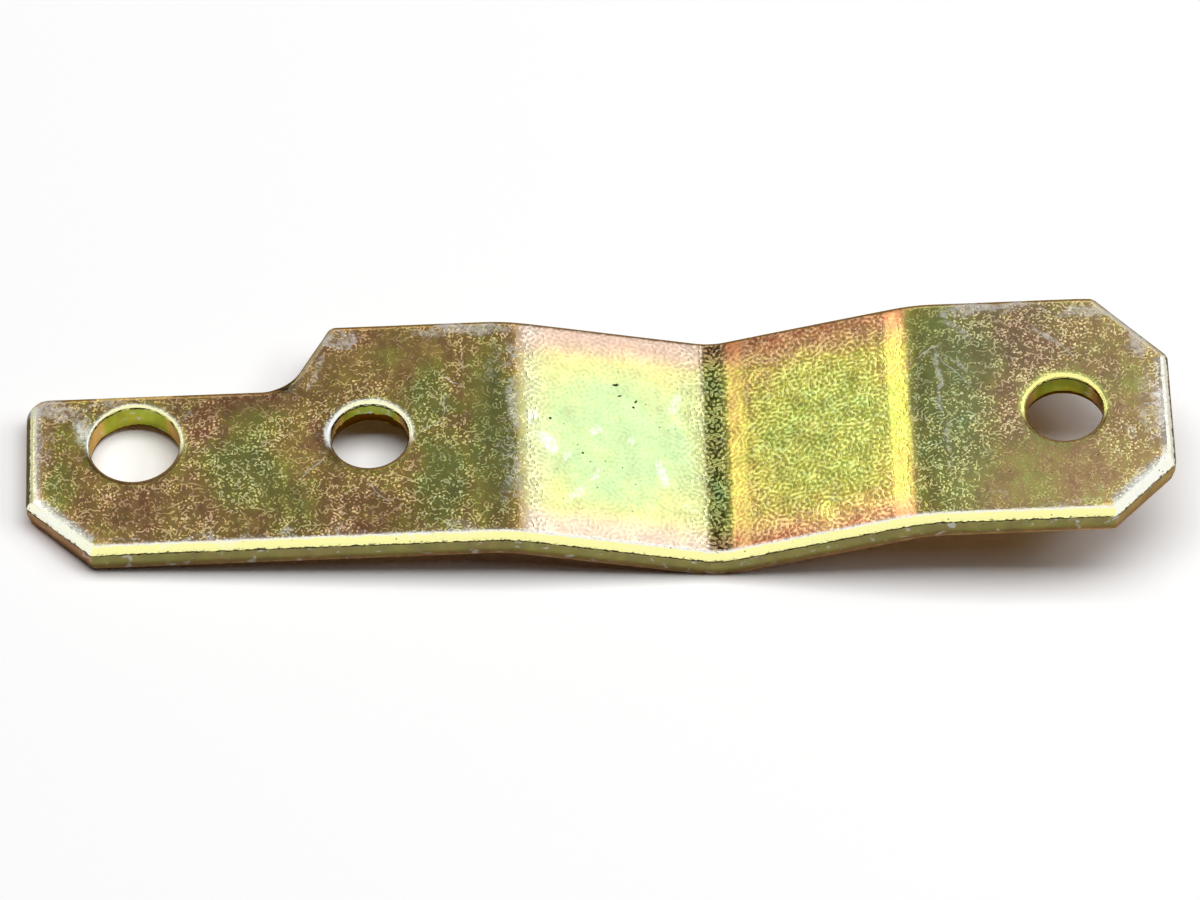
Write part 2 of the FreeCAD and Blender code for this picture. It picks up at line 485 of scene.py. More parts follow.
    def divide(self, bm: bmesh.types.BMesh) -> list[tuple[Hole, list[Face]]]:
        """Divides the blank into small cells, but for one whole tile over each hole.

        Args:
            bm: Mesh of the blank, with its edges sheared.

        Returns:
            Each hole with its tile's faces on the top and the underside.
        """
        tiles: list[tuple[Hole, list[Face]]] = []
        kept: set[Face] = set()
        for hole in self.holes:
            for side in (-hole.tile, hole.tile):
                self.slice_at(bm, Axis.ALONG, hole.x + side, kept)
        for hole in self.holes:
            middle = Vector((hole.x, hole.y))
            for side in (-hole.tile, hole.tile):
                centres = {face: face.calc_center_bounds() for face in bm.faces}
                outside = {face for face, at in centres.items() if abs(at.x - hole.x) > hole.tile}
                self.slice_at(bm, Axis.ACROSS, hole.y + side, kept | outside)
            centres = {face: face.calc_center_bounds() for face in bm.faces}
            faces = [face for face, at in centres.items() if (at.xy - middle).length < self.snap]
            tiles.append((hole, faces))
            kept.update(faces)
        for height in self.wall_cuts:
            self.slice_at(bm, Axis.THROUGH, height, kept)
        marks = self.stations()
        for low, high in zip(marks, marks[1:]):
            count = math.ceil((high - low) / self.cell - self.snap)
            for step in range(1, count + 1):
                self.slice_at(bm, Axis.ALONG, low + (high - low) * step / count, kept)
        rows = round(self.width / self.cell)
        rolled = math.ceil(self.edge_roll / self.cell)
        for row in range(rolled + 1, rows - rolled):
            self.slice_at(bm, Axis.ACROSS, row * self.cell, kept)
        return tiles

    def spokes(self, face: Face, centre: Vector) -> list[tuple[Vector, Vector]]:
        """Finds where the corners of a tile's face start, and how they go to a circle.

        Args:
            face: The tile's face.
            centre: Centre of the hole on the blank.

        Returns:
            For each corner, its place from the centre, and its direction on the circle.
        """
        found = []
        for vert in face.verts:
            start = vert.co.xy - centre
            x, y = start
            if abs(x) >= abs(y):
                angle = math.pi / 4 * y / x + (math.pi if x < 0 else 0.0)
            else:
                angle = math.pi / 2 - math.pi / 4 * x / y + (math.pi if y < 0 else 0.0)
            found.append((start, Vector((math.cos(angle), math.sin(angle)))))
        return found

    def rings(self, hole: Hole, on_top: bool) -> list[tuple[float, float, float]]:
        """Lists the rings of faces from a hole's tile in to the middle of its wall.

        Args:
            hole: The hole.
            on_top: Whether they start on the top face, or else on the underside.

        Returns:
            For each ring its radius, its height, and how far it has come from the
            tile's edge to its circle.
        """
        height = self.thickness if on_top else 0.0
        lip = hole.radius + (hole.roll if on_top else hole.flare)
        rings = []
        for ring in range(1, self.tile_rings + 1):
            rings.append((lip + self.ring_margin, height, ring / self.tile_rings))
        if on_top:
            for step in range(self.roll_steps + 1):
                angle = math.pi / 2 * step / self.roll_steps
                radius = hole.radius + hole.roll * (1 - math.sin(angle))
                rings.append((radius, height - hole.roll * (1 - math.cos(angle)), 1.0))
            rings += [(hole.radius, cut, 1.0) for cut in self.bore_cuts]
        else:
            for step in range(self.flare_steps + 1):
                share = step / self.flare_steps
                radius = hole.radius + hole.flare * (1 - share)
                rings.append((radius, self.hole_taper_height * share, 1.0))
        return rings

    def pierce(self, bm: bmesh.types.BMesh, hole: Hole, faces: list[Face]) -> None:
        """Pierces one hole through its tile.

        Args:
            bm: Mesh of the blank.
            hole: The hole.
            faces: The tile's two faces.
        """
        centre = Vector((hole.x, hole.y))
        rims = []
        for face in faces:
            spokes = self.spokes(face, centre)
            for radius, height, share in self.rings(hole, on_top=face.normal.z > 0):
                bmesh.ops.inset_individual(
                    bm, faces=[face], thickness=self.snap, use_even_offset=True
                )
                for vert, (start, direction) in zip(face.verts, spokes):
                    drawn = start.lerp(direction * radius, share)
                    vert.co = Vector((centre.x + drawn.x, centre.y + drawn.y, height))
            rims += list(face.edges)
        bmesh.ops.delete(bm, geom=faces, context="FACES_ONLY")
        bmesh.ops.bridge_loops(bm, edges=rims)

    def put_in_order(
        self, parts: bmesh.types.BMVertSeq | bmesh.types.BMFaceSeq, place: Callable
    ) -> None:
        """Sorts points or faces by place, as the cuts leave them in an order that varies.

        Args:
            parts: The mesh's points or faces.
            place: Gives the place of one of them.
        """
        rank = {part: number for number, part in enumerate(sorted(parts, key=place))}
        parts.sort(key=rank.get)

    def build_blank(self) -> bpy.types.Mesh:
        """Cuts, shears, divides and pierces the blank.

        Returns:
            The flat blank as a mesh in millimetres, with its sharp edges marked.
        """
        bm = bmesh.new()
        self.shear_edges(bm, self.cut_blank(bm))
        for hole, faces in self.divide(bm):
            self.pierce(bm, hole, faces)
        self.put_in_order(bm.verts, lambda vert: vert.co[:])
        bmesh.ops.remove_doubles(bm, verts=list(bm.verts), dist=self.snap / 2)
        self.put_in_order(bm.faces, lambda face: face.calc_center_median()[:])
        bmesh.ops.recalc_face_normals(bm, faces=list(bm.faces))
        for face in bm.faces:
            face.smooth = True
        for edge in bm.edges:
            edge.smooth = edge.calc_face_angle(0.0) < math.radians(self.sharp_angle)
        mesh = bpy.data.meshes.new("bracket_strip")
        bm.to_mesh(mesh)
        bm.free()
        return mesh

    def rim_distance(self, blank: np.ndarray) -> np.ndarray:
        """Distance in plan from each point to the blank's outline.

        Args:
            blank: Points of the flat blank as rows.

        Returns:
            One distance for each point.
        """
        return np.min([self.side_distance(blank, side) for side in Side], axis=0)

    def side_distance(self, blank: np.ndarray, side: Side) -> np.ndarray:
        """Distance in plan from each point to one side of the blank's outline.

        Args:
            blank: Points of the flat blank as rows.
            side: The side.

        Returns:
            One distance for each point.
        """
        corners = self.corners()
        start, end = corners[side.value], corners[(side.value + 1) % len(corners)]
        run = np.array((end.x - start.x, end.y - start.y))
        from_start = blank[:, :2] - (start.x, start.y)
        share = np.clip(from_start @ run / (run @ run), 0.0, 1.0)
        return np.linalg.norm(from_start - share[:, None] * run, axis=1)

    def hole_distance(self, blank: np.ndarray, hole: Hole) -> np.ndarray:
        """Distance in plan from each point to the centre of a hole.

        Args:
            blank: Points of the flat blank as rows.
            hole: The hole.

        Returns:
            One distance for each point.
        """
        return np.hypot(blank[:, 0] - hole.x, blank[:, 1] - hole.y)

    def bore_distance(self, blank: np.ndarray) -> np.ndarray:
        """Distance in plan from each point to the wall of the nearest hole.

        Args:
            blank: Points of the flat blank as rows.

        Returns:
            One distance for each point.
        """
        gaps = [self.hole_distance(blank, hole) - hole.radius for hole in self.holes]
        return np.min(gaps, axis=0)

    def wear_in(self, mesh: bpy.types.Mesh, blank: np.ndarray) -> np.ndarray:
        """Makes the blank's faces and sheared walls slightly uneven, always inwards.

        Args:
            mesh: The flat blank, for its normals.
            blank: Its points as rows.

        Returns:
            The points after wear, as rows.
        """
        normals = np.empty(len(blank) * 3)
        mesh.vertex_normals.foreach_get("vector", normals)
        normals = normals.reshape(-1, 3)
        rim = np.minimum(self.rim_distance(blank), self.bore_distance(blank))
        wall = ease(rim, 0.5, 0.05) * ease(blank[:, 2], 3.0, 2.4) * ease(blank[:, 2], 0.0, 0.4)
        waves = 0.5 + 0.5 * self.WAVES.over(blank)
        ripples = 0.5 + 0.5 * self.RIPPLES.over(blank)
        tears = np.clip(0.4 + self.TEARS.over(blank * (1.0, 1.0, 0.4)), 0.0, 1.0)
        depth = self.wave_depth * waves + self.ripple_depth * ripples
        depth = depth + self.tear_depth * wall * tears
        worn = blank - normals * np.clip(depth, 0.0, None)[:, None]
        worn[:, 2] -= self.droop(blank) * ease(blank[:, 2], 2.6, 3.4)
        return worn

    def droop(self, blank: np.ndarray) -> np.ndarray:
        """How far the top face sinks towards its short edges and its holes.

        Args:
            blank: Points of the flat blank as rows.

        Returns:
            One depth for each point.
        """
        far = {side: self.side_distance(blank, side) for side in Side}
        cuts = np.minimum(far[Side.TONGUE_CUT], far[Side.END_FRONT_CUT])
        ends = np.min([far[Side.TONGUE_END], far[Side.END], far[Side.END_BACK_CUT]], axis=0)
        sunk = self.chamfer_droop * ease(cuts, self.droop_reach * 1.3, 0.0)
        sunk += self.end_droop * ease(ends, self.droop_reach, 0.0)
        sunk += self.hole_droop * ease(self.bore_distance(blank), 1.3, 0.0)
        return sunk * (1.0 + 0.3 * self.SAGS.over(blank))

    def rest_angle(self) -> float:
        """Works out how far the level strip tips, tongue down, on a table.

        Returns:
            The angle, in radians.
        """
        slope = math.radians(self.slope_angle)
        outer_radius = self.valley_top_radius + self.thickness
        along = self.first_pad + self.shoulder_to_valley - self.edge_taper_inset
        valley_depth = self.shoulder_to_valley * math.tan(slope)
        height = self.thickness - valley_depth + self.valley_top_radius / math.cos(slope)
        return math.asin(outer_radius / math.hypot(along, height)) - math.atan2(height, along)

    def lay_down(self, placed: np.ndarray) -> np.ndarray:
        """Tips points of the pressed strip to the attitude in which it rests.

        Args:
            placed: Points of the pressed, level strip as rows.

        Returns:
            The tipped points as rows.
        """
        turn = np.array(Matrix.Rotation(-self.rest_angle(), 3, "Y"))
        return placed @ turn.T

    def press(self, mesh: bpy.types.Mesh) -> None:
        """Bends the blank, lays it down and moves it into the CAD node's place.

        The flat places of its points and the map of its film stay on it as attributes,
        so that its finish follows the sheet round the bends.

        Args:
            mesh: The flat blank in millimetres, which becomes the bracket in metres.
        """
        blank = np.empty(len(mesh.vertices) * 3)
        mesh.vertices.foreach_get("co", blank)
        blank = blank.reshape(-1, 3)
        worn = self.wear_in(mesh, blank)
        ideal = self.lay_down(self.path.place(blank))
        low, high = (np.array(corner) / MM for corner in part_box("bracket"))
        shift = (low + high) / 2 - (ideal.min(0) + ideal.max(0)) / 2
        shift[2] = low[2] - ideal[:, 2].min()
        final = (self.lay_down(self.path.place(worn)) + shift) * MM
        mesh.vertices.foreach_set("co", final.ravel())
        self.mark(mesh, "blank", blank)
        self.mark(mesh, "bore", self.bore_distance(blank))
        for name, values in FilmMap(self, blank).fields().items():
            self.mark(mesh, name, values)
        mesh.update()

    def mark(self, mesh: bpy.types.Mesh, name: str, values: np.ndarray) -> None:
        """Stores values on a mesh's points.

        Args:
            mesh: The mesh.
            name: Name of the attribute.
            values: One number or one row of three for each point.
        """
        kind, item = ("FLOAT_VECTOR", "vector") if values.ndim == 2 else ("FLOAT", "value")
        attribute = mesh.attributes.new(name, kind, "POINT")
        attribute.data.foreach_set(item, values.astype(np.float32).ravel())

    def build(self) -> bpy.types.Object:
        """Builds the whole bracket in its place.

        Returns:
            The finished object, without a material.
        """
        mesh = self.build_blank()
        self.press(mesh)
        piece = bpy.data.objects.new("bracket_strip", mesh)
        bpy.context.scene.collection.objects.link(piece)
        return piece

    def fit(self, piece: bpy.types.Object) -> None:
        """Puts the piece in the CAD node's stead.

        Args:
            piece: The finished bracket.
        """
        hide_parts("bracket")
        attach(piece, "root")


@dataclass(frozen=True)
class Patch:
    """An oval patch of the top face, in the blank's millimetres, with a soft edge.

    Attributes:
        x: Place of its middle along the blank.
        y: Place of its middle across the blank.
        length: Half its length.
        width: Half its width.
        amount: How strong it is at its middle.
        turn: Angle of its length from the blank's, in degrees.
    """

    x: float
    y: float
    length: float
    width: float
    amount: float
    turn: float = 0.0

    def over(self, plan: np.ndarray) -> np.ndarray:
        """How strong the patch is over points of the blank.

        Args:
            plan: Places of the points along and across the blank, as rows.

        Returns:
            One value for each point.
        """
        turn = math.radians(self.turn)
        along = (plan[:, 0] - self.x) * math.cos(turn) + (plan[:, 1] - self.y) * math.sin(turn)
        aside = (plan[:, 1] - self.y) * math.cos(turn) - (plan[:, 0] - self.x) * math.sin(turn)
        return self.amount * ease(np.hypot(along / self.length, aside / self.width), 1.35, 0.45)


@dataclass(frozen=True)
class Lip:
    """How the rolled top of one side of the outline looks.

    Attributes:
        reach: Width of the lip, painted bright where it faces the light, in millimetres.
        glare: How far it faces the light, from 0 to 1: painted highlight at 1, painted shade at 0.
        chalk: How white its painted highlight is, from 0 to 1.
        brink: Width of the dark line of painted shade on its outer edge, in millimetres.
        rust: How red the wall below it is, from 0 to 1.
    """

    reach: float
    glare: float = 0.0
    chalk: float = 0.0
    brink: float = 0.0
    rust: float = 0.3


@dataclass(frozen=True)
class Bore:
    """How one hole's rim and wall look.

    Attributes:
        reach: Width of the rim's lip, painted bright where it faces the light, in millimetres.
        chalk: How white its painted highlight is, from 0 to 1.
        torn: Height up to which the wall is torn, in millimetres.
    """

    reach: float
    chalk: float
    torn: float


class FilmMap:
    """Where the plate's film is thick, thin, pale, dull or rubbed, over the whole blank,
    and where light and shade are painted on it.

    ALONG and ACROSS hold soft steps over the blank, from 0 at the first place to 1 at the
    second. With the tables of patches, from THICK on, they make the masks. FILM, SHADE,
    PALE, WRINKLE and PATCHY give, for each part of the sheet, how much each mask adds
    there. The mask "base" is 1 everywhere.
    """

    LIPS: dict[Side, Lip] = {
        Side.FRONT: Lip(0.9, glare=1.0, chalk=0.12, rust=0.0),
        Side.END_FRONT_CUT: Lip(1.7, glare=1.0, chalk=0.8, brink=0.05),
        Side.END: Lip(1.5, glare=0.7, chalk=0.85, brink=0.25),
        Side.END_BACK_CUT: Lip(0.9, glare=0.35, chalk=0.5, brink=0.42),
        Side.BACK: Lip(0.8, brink=0.4),
        Side.STEP: Lip(0.9, glare=0.2, chalk=0.4, brink=0.35),
        Side.TONGUE_BACK: Lip(0.8, brink=0.38),
        Side.TONGUE_END: Lip(1.5, glare=0.7, chalk=0.4, brink=0.55),
        Side.TONGUE_CUT: Lip(1.6, glare=1.0, chalk=0.7, brink=0.05, rust=0.6),
    }
    BORES: tuple[Bore, ...] = (
        Bore(0.5, chalk=0.35, torn=0.3),
        Bore(0.66, chalk=0.5, torn=2.0),
        Bore(0.95, chalk=0.0, torn=0.9),
    )
    DRIFT = (Ripple(7.0, seed=4.0), Ripple(7.0, seed=6.0))
    DRIFT_REACH = 1.2
    GLITTER = Ripple(9.0, seed=8.0)
    LEFT_SLOPE = Band(56.8, 58.4, 79.3, 79.9)
    VALLEY = Band(79.1, 79.5, 82.0, 82.4)
    RIGHT_SLOPE = Band(81.8, 82.3, 103.8, 104.3)
    LEFT_CORE = Patch(68.0, 15.0, 11.5, 11.8, 1.0)
    RIGHT_CORE = Patch(94.0, 15.0, 10.5, 11.5, 1.0)
    ALONG: dict[str, tuple[float, float]] = {
        "pale_crest": (62.0, 58.5),
        "rough_crest": (61.5, 58.0),
        "dim_crest": (61.0, 58.0),
        "thick_foot": (74.0, 77.0),
        "dim_foot": (75.0, 78.0),
        "rough_foot": (75.5, 79.0),
        "right_foot": (85.0, 83.8),
        "right_crest": (101.3, 102.0),
        "past_slopes": (100.0, 104.0),
        "end": (104.0, 113.0),
        "far_end": (117.0, 126.0),
    }
    ACROSS: dict[str, tuple[float, float]] = {
        "front": (5.5, 3.0),
        "front_half": (13.0, 7.0),
        "back_half": (16.0, 25.0),
        "back": (23.5, 28.5),
    }
    FILM: Parts = {
        "base": {"base": 0.33, "end": 0.04, "thick": 1.1, "thin": -1.0, "ring": 0.12},
        "left": {
            "base": 0.16,
            "inner": 0.42,
            "left_core": 0.4,
            "back": -0.24,
            "front": -0.1,
            "thick_foot": 0.1,
        },
        "right": {
            "base": 0.06,
            "inner": 0.32,
            "right_core": 0.32,
            "back": -0.02,
            "inner_highlight_band": 0.04,
        },
        "valley": {"base": 0.2, "inner": 0.5},
        "foot": {"base": 0.06, "inner": 0.15},
        "wall": {"base": 0.56, "bored": 0.3, "beside": -0.75, "outer_foot": -0.45, "rust": -0.9},
    }
    SHADE: Parts = {
        "base": {
            "base": 0.9,
            "end": 0.2,
            "far_end": 0.28,
            "dull": -1.0,
            "end_front": 0.17,
            "end_back": -0.24,
            "smooth": 0.3,
            "thick": -0.72,
            "end_thick": 0.38,
            "shaded_ring": -0.5,
        },
        "left": {"base": 0.98, "dim_foot": -0.12, "back": -0.08, "dim_crest": -0.16},
        "right": {
            "base": 0.85,
            "right_core": -0.04,
            "front": 0.2,
            "back": -0.12,
            # Painted highlight on the bright bands at both ends of the right slope, more at its
            # crest.
            "highlight_band": 0.3,
            "right_crest": 0.25,
        },
        # Painted shade over the valley bend.
        "valley": {"base": 0.6},
        "foot": {"base": 0.7},
        # Walls are darker, partly for their duller shear and partly as painted shade of the
        # shadowed floor they mirror.
        "wall": {"base": 0.23, "bored": 0.34, "beside": 0.25, "rust": 0.5},
    }
    PALE: Parts = {
        # Painted highlight: the left slope's film is whitened, most at its crest.
        "left_face": {"base": 0.42, "inner": -0.16, "front": 0.08, "pale_crest": 0.12},
        "pads": {"base": 0.03, "end": 0.03, "thick": 0.16},
        "face": {"end": 0.13},
        "wall": {"base": 0.06, "bored": -0.06, "beside": 0.34, "rust": 0.12},
    }
    WRINKLE: Parts = {
        "face": {"base": 0.9, "valley": 0.1},
        "left_face": {"base": -0.62, "left_core": -0.12, "rough_crest": 0.4, "rough_foot": 0.3},
        "right_face": {"base": -0.12, "highlight_band": -0.65, "inner": 0.22},
        "foot": {"base": 0.6},
    }
    PATCHY: Parts = {"base": {"base": 1.0, "left": -0.45, "right": -0.25, "wall": -0.1}}
    THICK: tuple[Patch, ...] = (
        Patch(25.5, 10.5, 5.0, 6.0, 0.34),
        Patch(26.5, 17.5, 3.5, 2.5, 0.18),
        Patch(4.0, 9.5, 2.0, 4.0, 0.22),
        Patch(5.0, 16.5, 2.0, 2.5, 0.15),
        Patch(31.0, 5.0, 3.0, 5.0, 0.18),
        Patch(42.0, 27.0, 3.0, 2.5, 0.14),
        Patch(47.0, 20.0, 3.0, 5.5, 0.3),
        Patch(48.5, 8.5, 3.5, 7.5, 0.34),
        Patch(54.0, 14.0, 3.5, 14.0, 0.32),
        Patch(108.0, 15.5, 5.0, 19.0, 0.36),
        Patch(112.0, 24.0, 4.0, 5.0, 0.2),
        Patch(119.0, 6.0, 3.0, 5.0, 0.12),
        Patch(129.5, 18.5, 3.0, 3.0, 0.14),
    )
    THIN: tuple[Patch, ...] = (
        Patch(13.0, 5.0, 6.0, 4.5, 0.1),
        Patch(21.5, 17.5, 3.0, 4.0, 0.14),
        Patch(26.0, 20.5, 7.0, 1.8, 0.16),
        Patch(33.5, 14.0, 1.6, 3.0, 0.16),
        Patch(41.5, 28.5, 4.5, 2.0, 0.1),
        Patch(37.0, 3.5, 4.5, 3.0, 0.1),
        Patch(118.5, 24.5, 4.5, 4.0, 0.16),
        Patch(123.5, 5.5, 7.0, 4.0, 0.08),
        Patch(115.5, 14.0, 2.0, 4.0, 0.1),
        Patch(128.5, 13.0, 3.0, 2.5, 0.1),
    )
    DULL: tuple[Patch, ...] = (
        Patch(31.0, 5.0, 1.0, 6.0, 0.2),
        Patch(28.5, 4.0, 0.8, 5.0, 0.16),
        Patch(34.0, 6.0, 0.8, 6.0, 0.16),
        Patch(31.0, 20.5, 6.0, 1.5, 0.16),
        Patch(23.0, 20.0, 10.0, 2.4, 0.2),
        Patch(35.0, 14.0, 2.0, 7.0, 0.14),
        Patch(55.5, 14.0, 2.2, 16.0, 0.22),
        Patch(112.5, 15.0, 1.5, 14.0, 0.14),
        Patch(105.3, 15.0, 0.9, 16.0, 0.2),
        Patch(42.0, 4.5, 9.0, 3.5, 0.12),
    )
    RUBBED: tuple[Patch, ...] = (
        Patch(3.2, 20.0, 5.2, 1.9, 0.6),
        Patch(9.0, 20.8, 4.0, 1.0, 0.5),
        Patch(6.6, 17.5, 1.2, 2.6, 0.6),
        Patch(18.3, 18.8, 1.6, 1.4, 0.45),
        Patch(2.4, 15.0, 1.6, 5.0, 0.42),
        Patch(30.5, 1.6, 1.2, 1.2, 0.55),
        Patch(35.5, 1.7, 2.0, 1.0, 0.5),
        Patch(36.5, 28.8, 2.6, 1.9, 0.62),
        Patch(33.6, 23.6, 0.9, 3.6, 0.55, -30.0),
        Patch(34.7, 14.5, 0.7, 2.2, 0.7),
        Patch(51.0, 29.4, 8.0, 1.3, 0.62),
        Patch(56.3, 26.0, 0.9, 3.0, 0.5),
        Patch(56.6, 19.0, 1.0, 5.0, 0.55),
        Patch(56.8, 9.0, 0.8, 5.0, 0.5),
        Patch(55.7, 10.0, 1.4, 9.0, 0.43),
        Patch(54.6, 24.5, 1.3, 4.0, 0.46),
        Patch(50.5, 1.9, 2.5, 1.0, 0.5),
        Patch(107.7, 19.0, 0.6, 6.5, 0.6),
        Patch(108.3, 10.5, 0.5, 4.5, 0.5),
        Patch(110.0, 27.5, 4.5, 0.8, 0.56, -55.0),
        Patch(109.6, 21.5, 3.2, 0.5, 0.52, -52.0),
        Patch(106.8, 24.0, 3.0, 0.5, 0.5, 35.0),
        Patch(120.3, 25.6, 3.6, 0.7, 0.58, -42.0),
        Patch(114.5, 29.5, 7.5, 1.2, 0.64),
        Patch(125.0, 29.0, 4.0, 1.4, 0.66),
        Patch(130.8, 24.0, 1.6, 2.6, 0.6),
        Patch(129.5, 27.0, 4.6, 1.1, 0.6, -45.0),
        Patch(132.0, 15.0, 1.9, 8.5, 0.52),
        Patch(129.6, 11.0, 1.2, 1.4, 0.5),
        Patch(114.5, 3.0, 1.6, 1.0, 0.45),
        Patch(121.0, 1.6, 6.0, 0.8, 0.5),
    )
    SMOOTH: tuple[Patch, ...] = (
        Patch(121.0, 5.5, 11.0, 6.0, 0.75),
        Patch(23.0, 20.0, 10.0, 2.4, 0.4),
        Patch(31.5, 13.0, 2.0, 5.0, 0.5),
        Patch(43.0, 27.0, 6.0, 3.5, 0.5),
        Patch(53.5, 14.0, 2.0, 14.0, 0.35),
        Patch(131.0, 18.0, 2.0, 8.0, 0.5),
    )
    BARE: tuple[Patch, ...] = (
        Patch(60.2, 14.0, 2.1, 1.2, 0.62, -50.0),
        Patch(58.8, 17.2, 1.2, 1.6, 0.5),
        Patch(63.0, 12.0, 1.0, 1.0, 0.5),
        Patch(64.2, 7.0, 1.7, 1.0, 0.55, 60.0),
        Patch(66.0, 10.2, 1.8, 0.7, 0.54, 50.0),
        Patch(67.0, 16.0, 0.9, 1.4, 0.5),
        Patch(70.6, 15.4, 0.9, 0.8, 0.5),
        Patch(74.5, 11.0, 1.0, 2.6, 0.54, 20.0),
        Patch(76.3, 21.5, 1.0, 2.0, 0.5),
        Patch(71.0, 26.5, 1.0, 0.7, 0.4),
        Patch(77.5, 6.5, 1.2, 1.0, 0.4),
        Patch(70.0, 4.2, 1.2, 0.8, 0.4),
        Patch(3.6, 4.2, 4.6, 1.5, 0.5, -43.0),
        Patch(130.6, 4.2, 4.8, 1.6, 0.5, 43.0),
        Patch(132.9, 14.5, 1.0, 8.0, 0.45),
        Patch(20.0, 1.1, 14.0, 0.7, 0.46),
        Patch(45.0, 1.1, 13.0, 0.7, 0.44),
        Patch(6.9, 16.5, 0.7, 3.0, 0.5, 20.0),
        Patch(34.7, 15.5, 0.6, 2.4, 0.7),
    )

    def __init__(self, strip: BracketStrip, blank: np.ndarray) -> None:
        """Finds the masks over the blank.

        Args:
            strip: The bracket's strip.
            blank: Points of the flat blank as rows.
        """
        self.strip, self.blank = strip, blank
        self.drift = np.stack([ripple.over(blank) for ripple in self.DRIFT], axis=1)
        self.plan = blank[:, :2] + self.DRIFT_REACH * self.drift
        self.lips = self.find_lips()
        self.masks = self.find_masks()

    def lay(self, patches: tuple[Patch, ...]) -> np.ndarray:
        """Lays patches over the blank, the strongest one on top."""
        return np.max([patch.over(self.plan) for patch in patches], axis=0)

    def find_masks(self) -> dict[str, np.ndarray]:
        """Finds the masks that the tables name.

        Returns:
            For each mask's name, one value for each point.
        """
        strip, blank, lips = self.strip, self.blank, self.lips
        along, across, up = blank[:, 0], self.plan[:, 1], blank[:, 2]
        rim, bore = strip.rim_distance(blank), strip.bore_distance(blank)
        masks = {"base": np.ones(len(blank)), "rust": lips["rust"]}
        masks |= {name: ease(along, *places) for name, places in self.ALONG.items()}
        masks |= {name: ease(across, *places) for name, places in self.ACROSS.items()}

        face = ease(lips["under"], 0.02, -0.1)
        foot = ease(up, 0.6, 0.0) * ease(np.minimum(rim, bore), 0.2, 0.5)
        bored = ease(bore, 1.4, 0.5)
        left, right = self.LEFT_SLOPE.over(along), self.RIGHT_SLOPE.over(along)
        masks |= {"face": face, "foot": foot, "wall": (1.0 - face) * (1.0 - foot)}
        masks |= {"left": left, "right": right, "valley": self.VALLEY.over(along)}
        masks |= {"left_face": left * face, "right_face": right * face}
        masks |= {"pads": face * (1.0 - left - right), "bored": bored}
        masks["outer_foot"] = ease(up, 1.2, 0.4) * (1.0 - bored)
        masks["beside"] = self.find_beside() * bored
        masks["inner"] = ease(rim + 0.8 * self.drift[:, 0], 1.0, 5.5)
        masks["ring"] = ease(bore, 1.5, 0.5) * face
        masks["shaded_ring"] = masks["ring"] * (1.0 - lips["glare"])

        masks["thick"], masks["thin"] = self.lay(self.THICK), self.lay(self.THIN)
        masks["dull"] = self.lay(self.DULL)
        masks["smooth"] = np.maximum(self.lay(self.SMOOTH), 0.8 * masks["shaded_ring"])
        masks["left_core"] = self.LEFT_CORE.over(self.plan)
        masks["right_core"] = self.RIGHT_CORE.over(self.plan)
        # The bright bands at the ends of the right slope, which carry a painted highlight.
        masks["highlight_band"] = masks["right_crest"] + masks["right_foot"]
        masks["inner_highlight_band"] = masks["highlight_band"] * masks["inner"]
        masks["end_front"] = masks["end"] * masks["front_half"]
        masks["end_back"] = masks["end"] * masks["back_half"]
        masks["end_thick"] = masks["thick"] * masks["past_slopes"]
        return masks

    def blend(self, weights: dict[str, float]) -> np.ndarray:
        """Adds masks up by their weights."""
        return sum(weight * self.masks[name] for name, weight in weights.items())

    def cover(self, parts: Parts) -> np.ndarray:
        """Lays the parts of the sheet over each other, the last one on top.

        Args:
            parts: Weights for each part, by the name of its mask.

        Returns:
            One value for each point.
        """
        value = np.zeros(len(self.blank))
        for part, weights in parts.items():
            value = value + self.masks[part] * (self.blend(weights) - value)
        return value

    def gather(self, parts: Parts) -> np.ndarray:
        """Adds the parts of the sheet up.

        Args:
            parts: Weights for each part, by the name of its mask.

        Returns:
            One value for each point.
        """
        return sum(self.masks[part] * self.blend(weights) for part, weights in parts.items())

    def fields(self) -> dict[str, np.ndarray]:
        """Works out every field of the map.

        Returns:
            For each field's name, one value for each point.
        """
        masks, lips = self.masks, self.lips
        face, foot = masks["face"], masks["foot"]
        slopes = masks["left"] + masks["right"]
        # Sparkle sets how strongly the wrinkles and their painted glints show.
        sparkle = 0.45 + 0.55 * ease(self.GLITTER.over(self.blank), -0.35, 0.15)
        sparkle = sparkle * (1.0 - masks["smooth"])
        return {
            "film": self.cover(self.FILM),
            "shade": self.cover(self.SHADE),
            "pale": self.gather(self.PALE),
            "patchy": self.gather(self.PATCHY),
            "wrinkle": self.gather(self.WRINKLE),
            "sparkle": sparkle + (slopes + masks["valley"]) * (1.0 - sparkle),
            "rub": self.lay(self.RUBBED) * face,
            "bare": self.lay(self.BARE) * face,
            "slope": np.maximum(slopes, masks["valley"]) * face,
            "under": lips["under"] * (1.0 - foot) - foot,
            "torn": masks["wall"] * self.find_torn(),
            **{name: lips[name] for name in ("lip", "glare", "chalk", "brink")},
        }

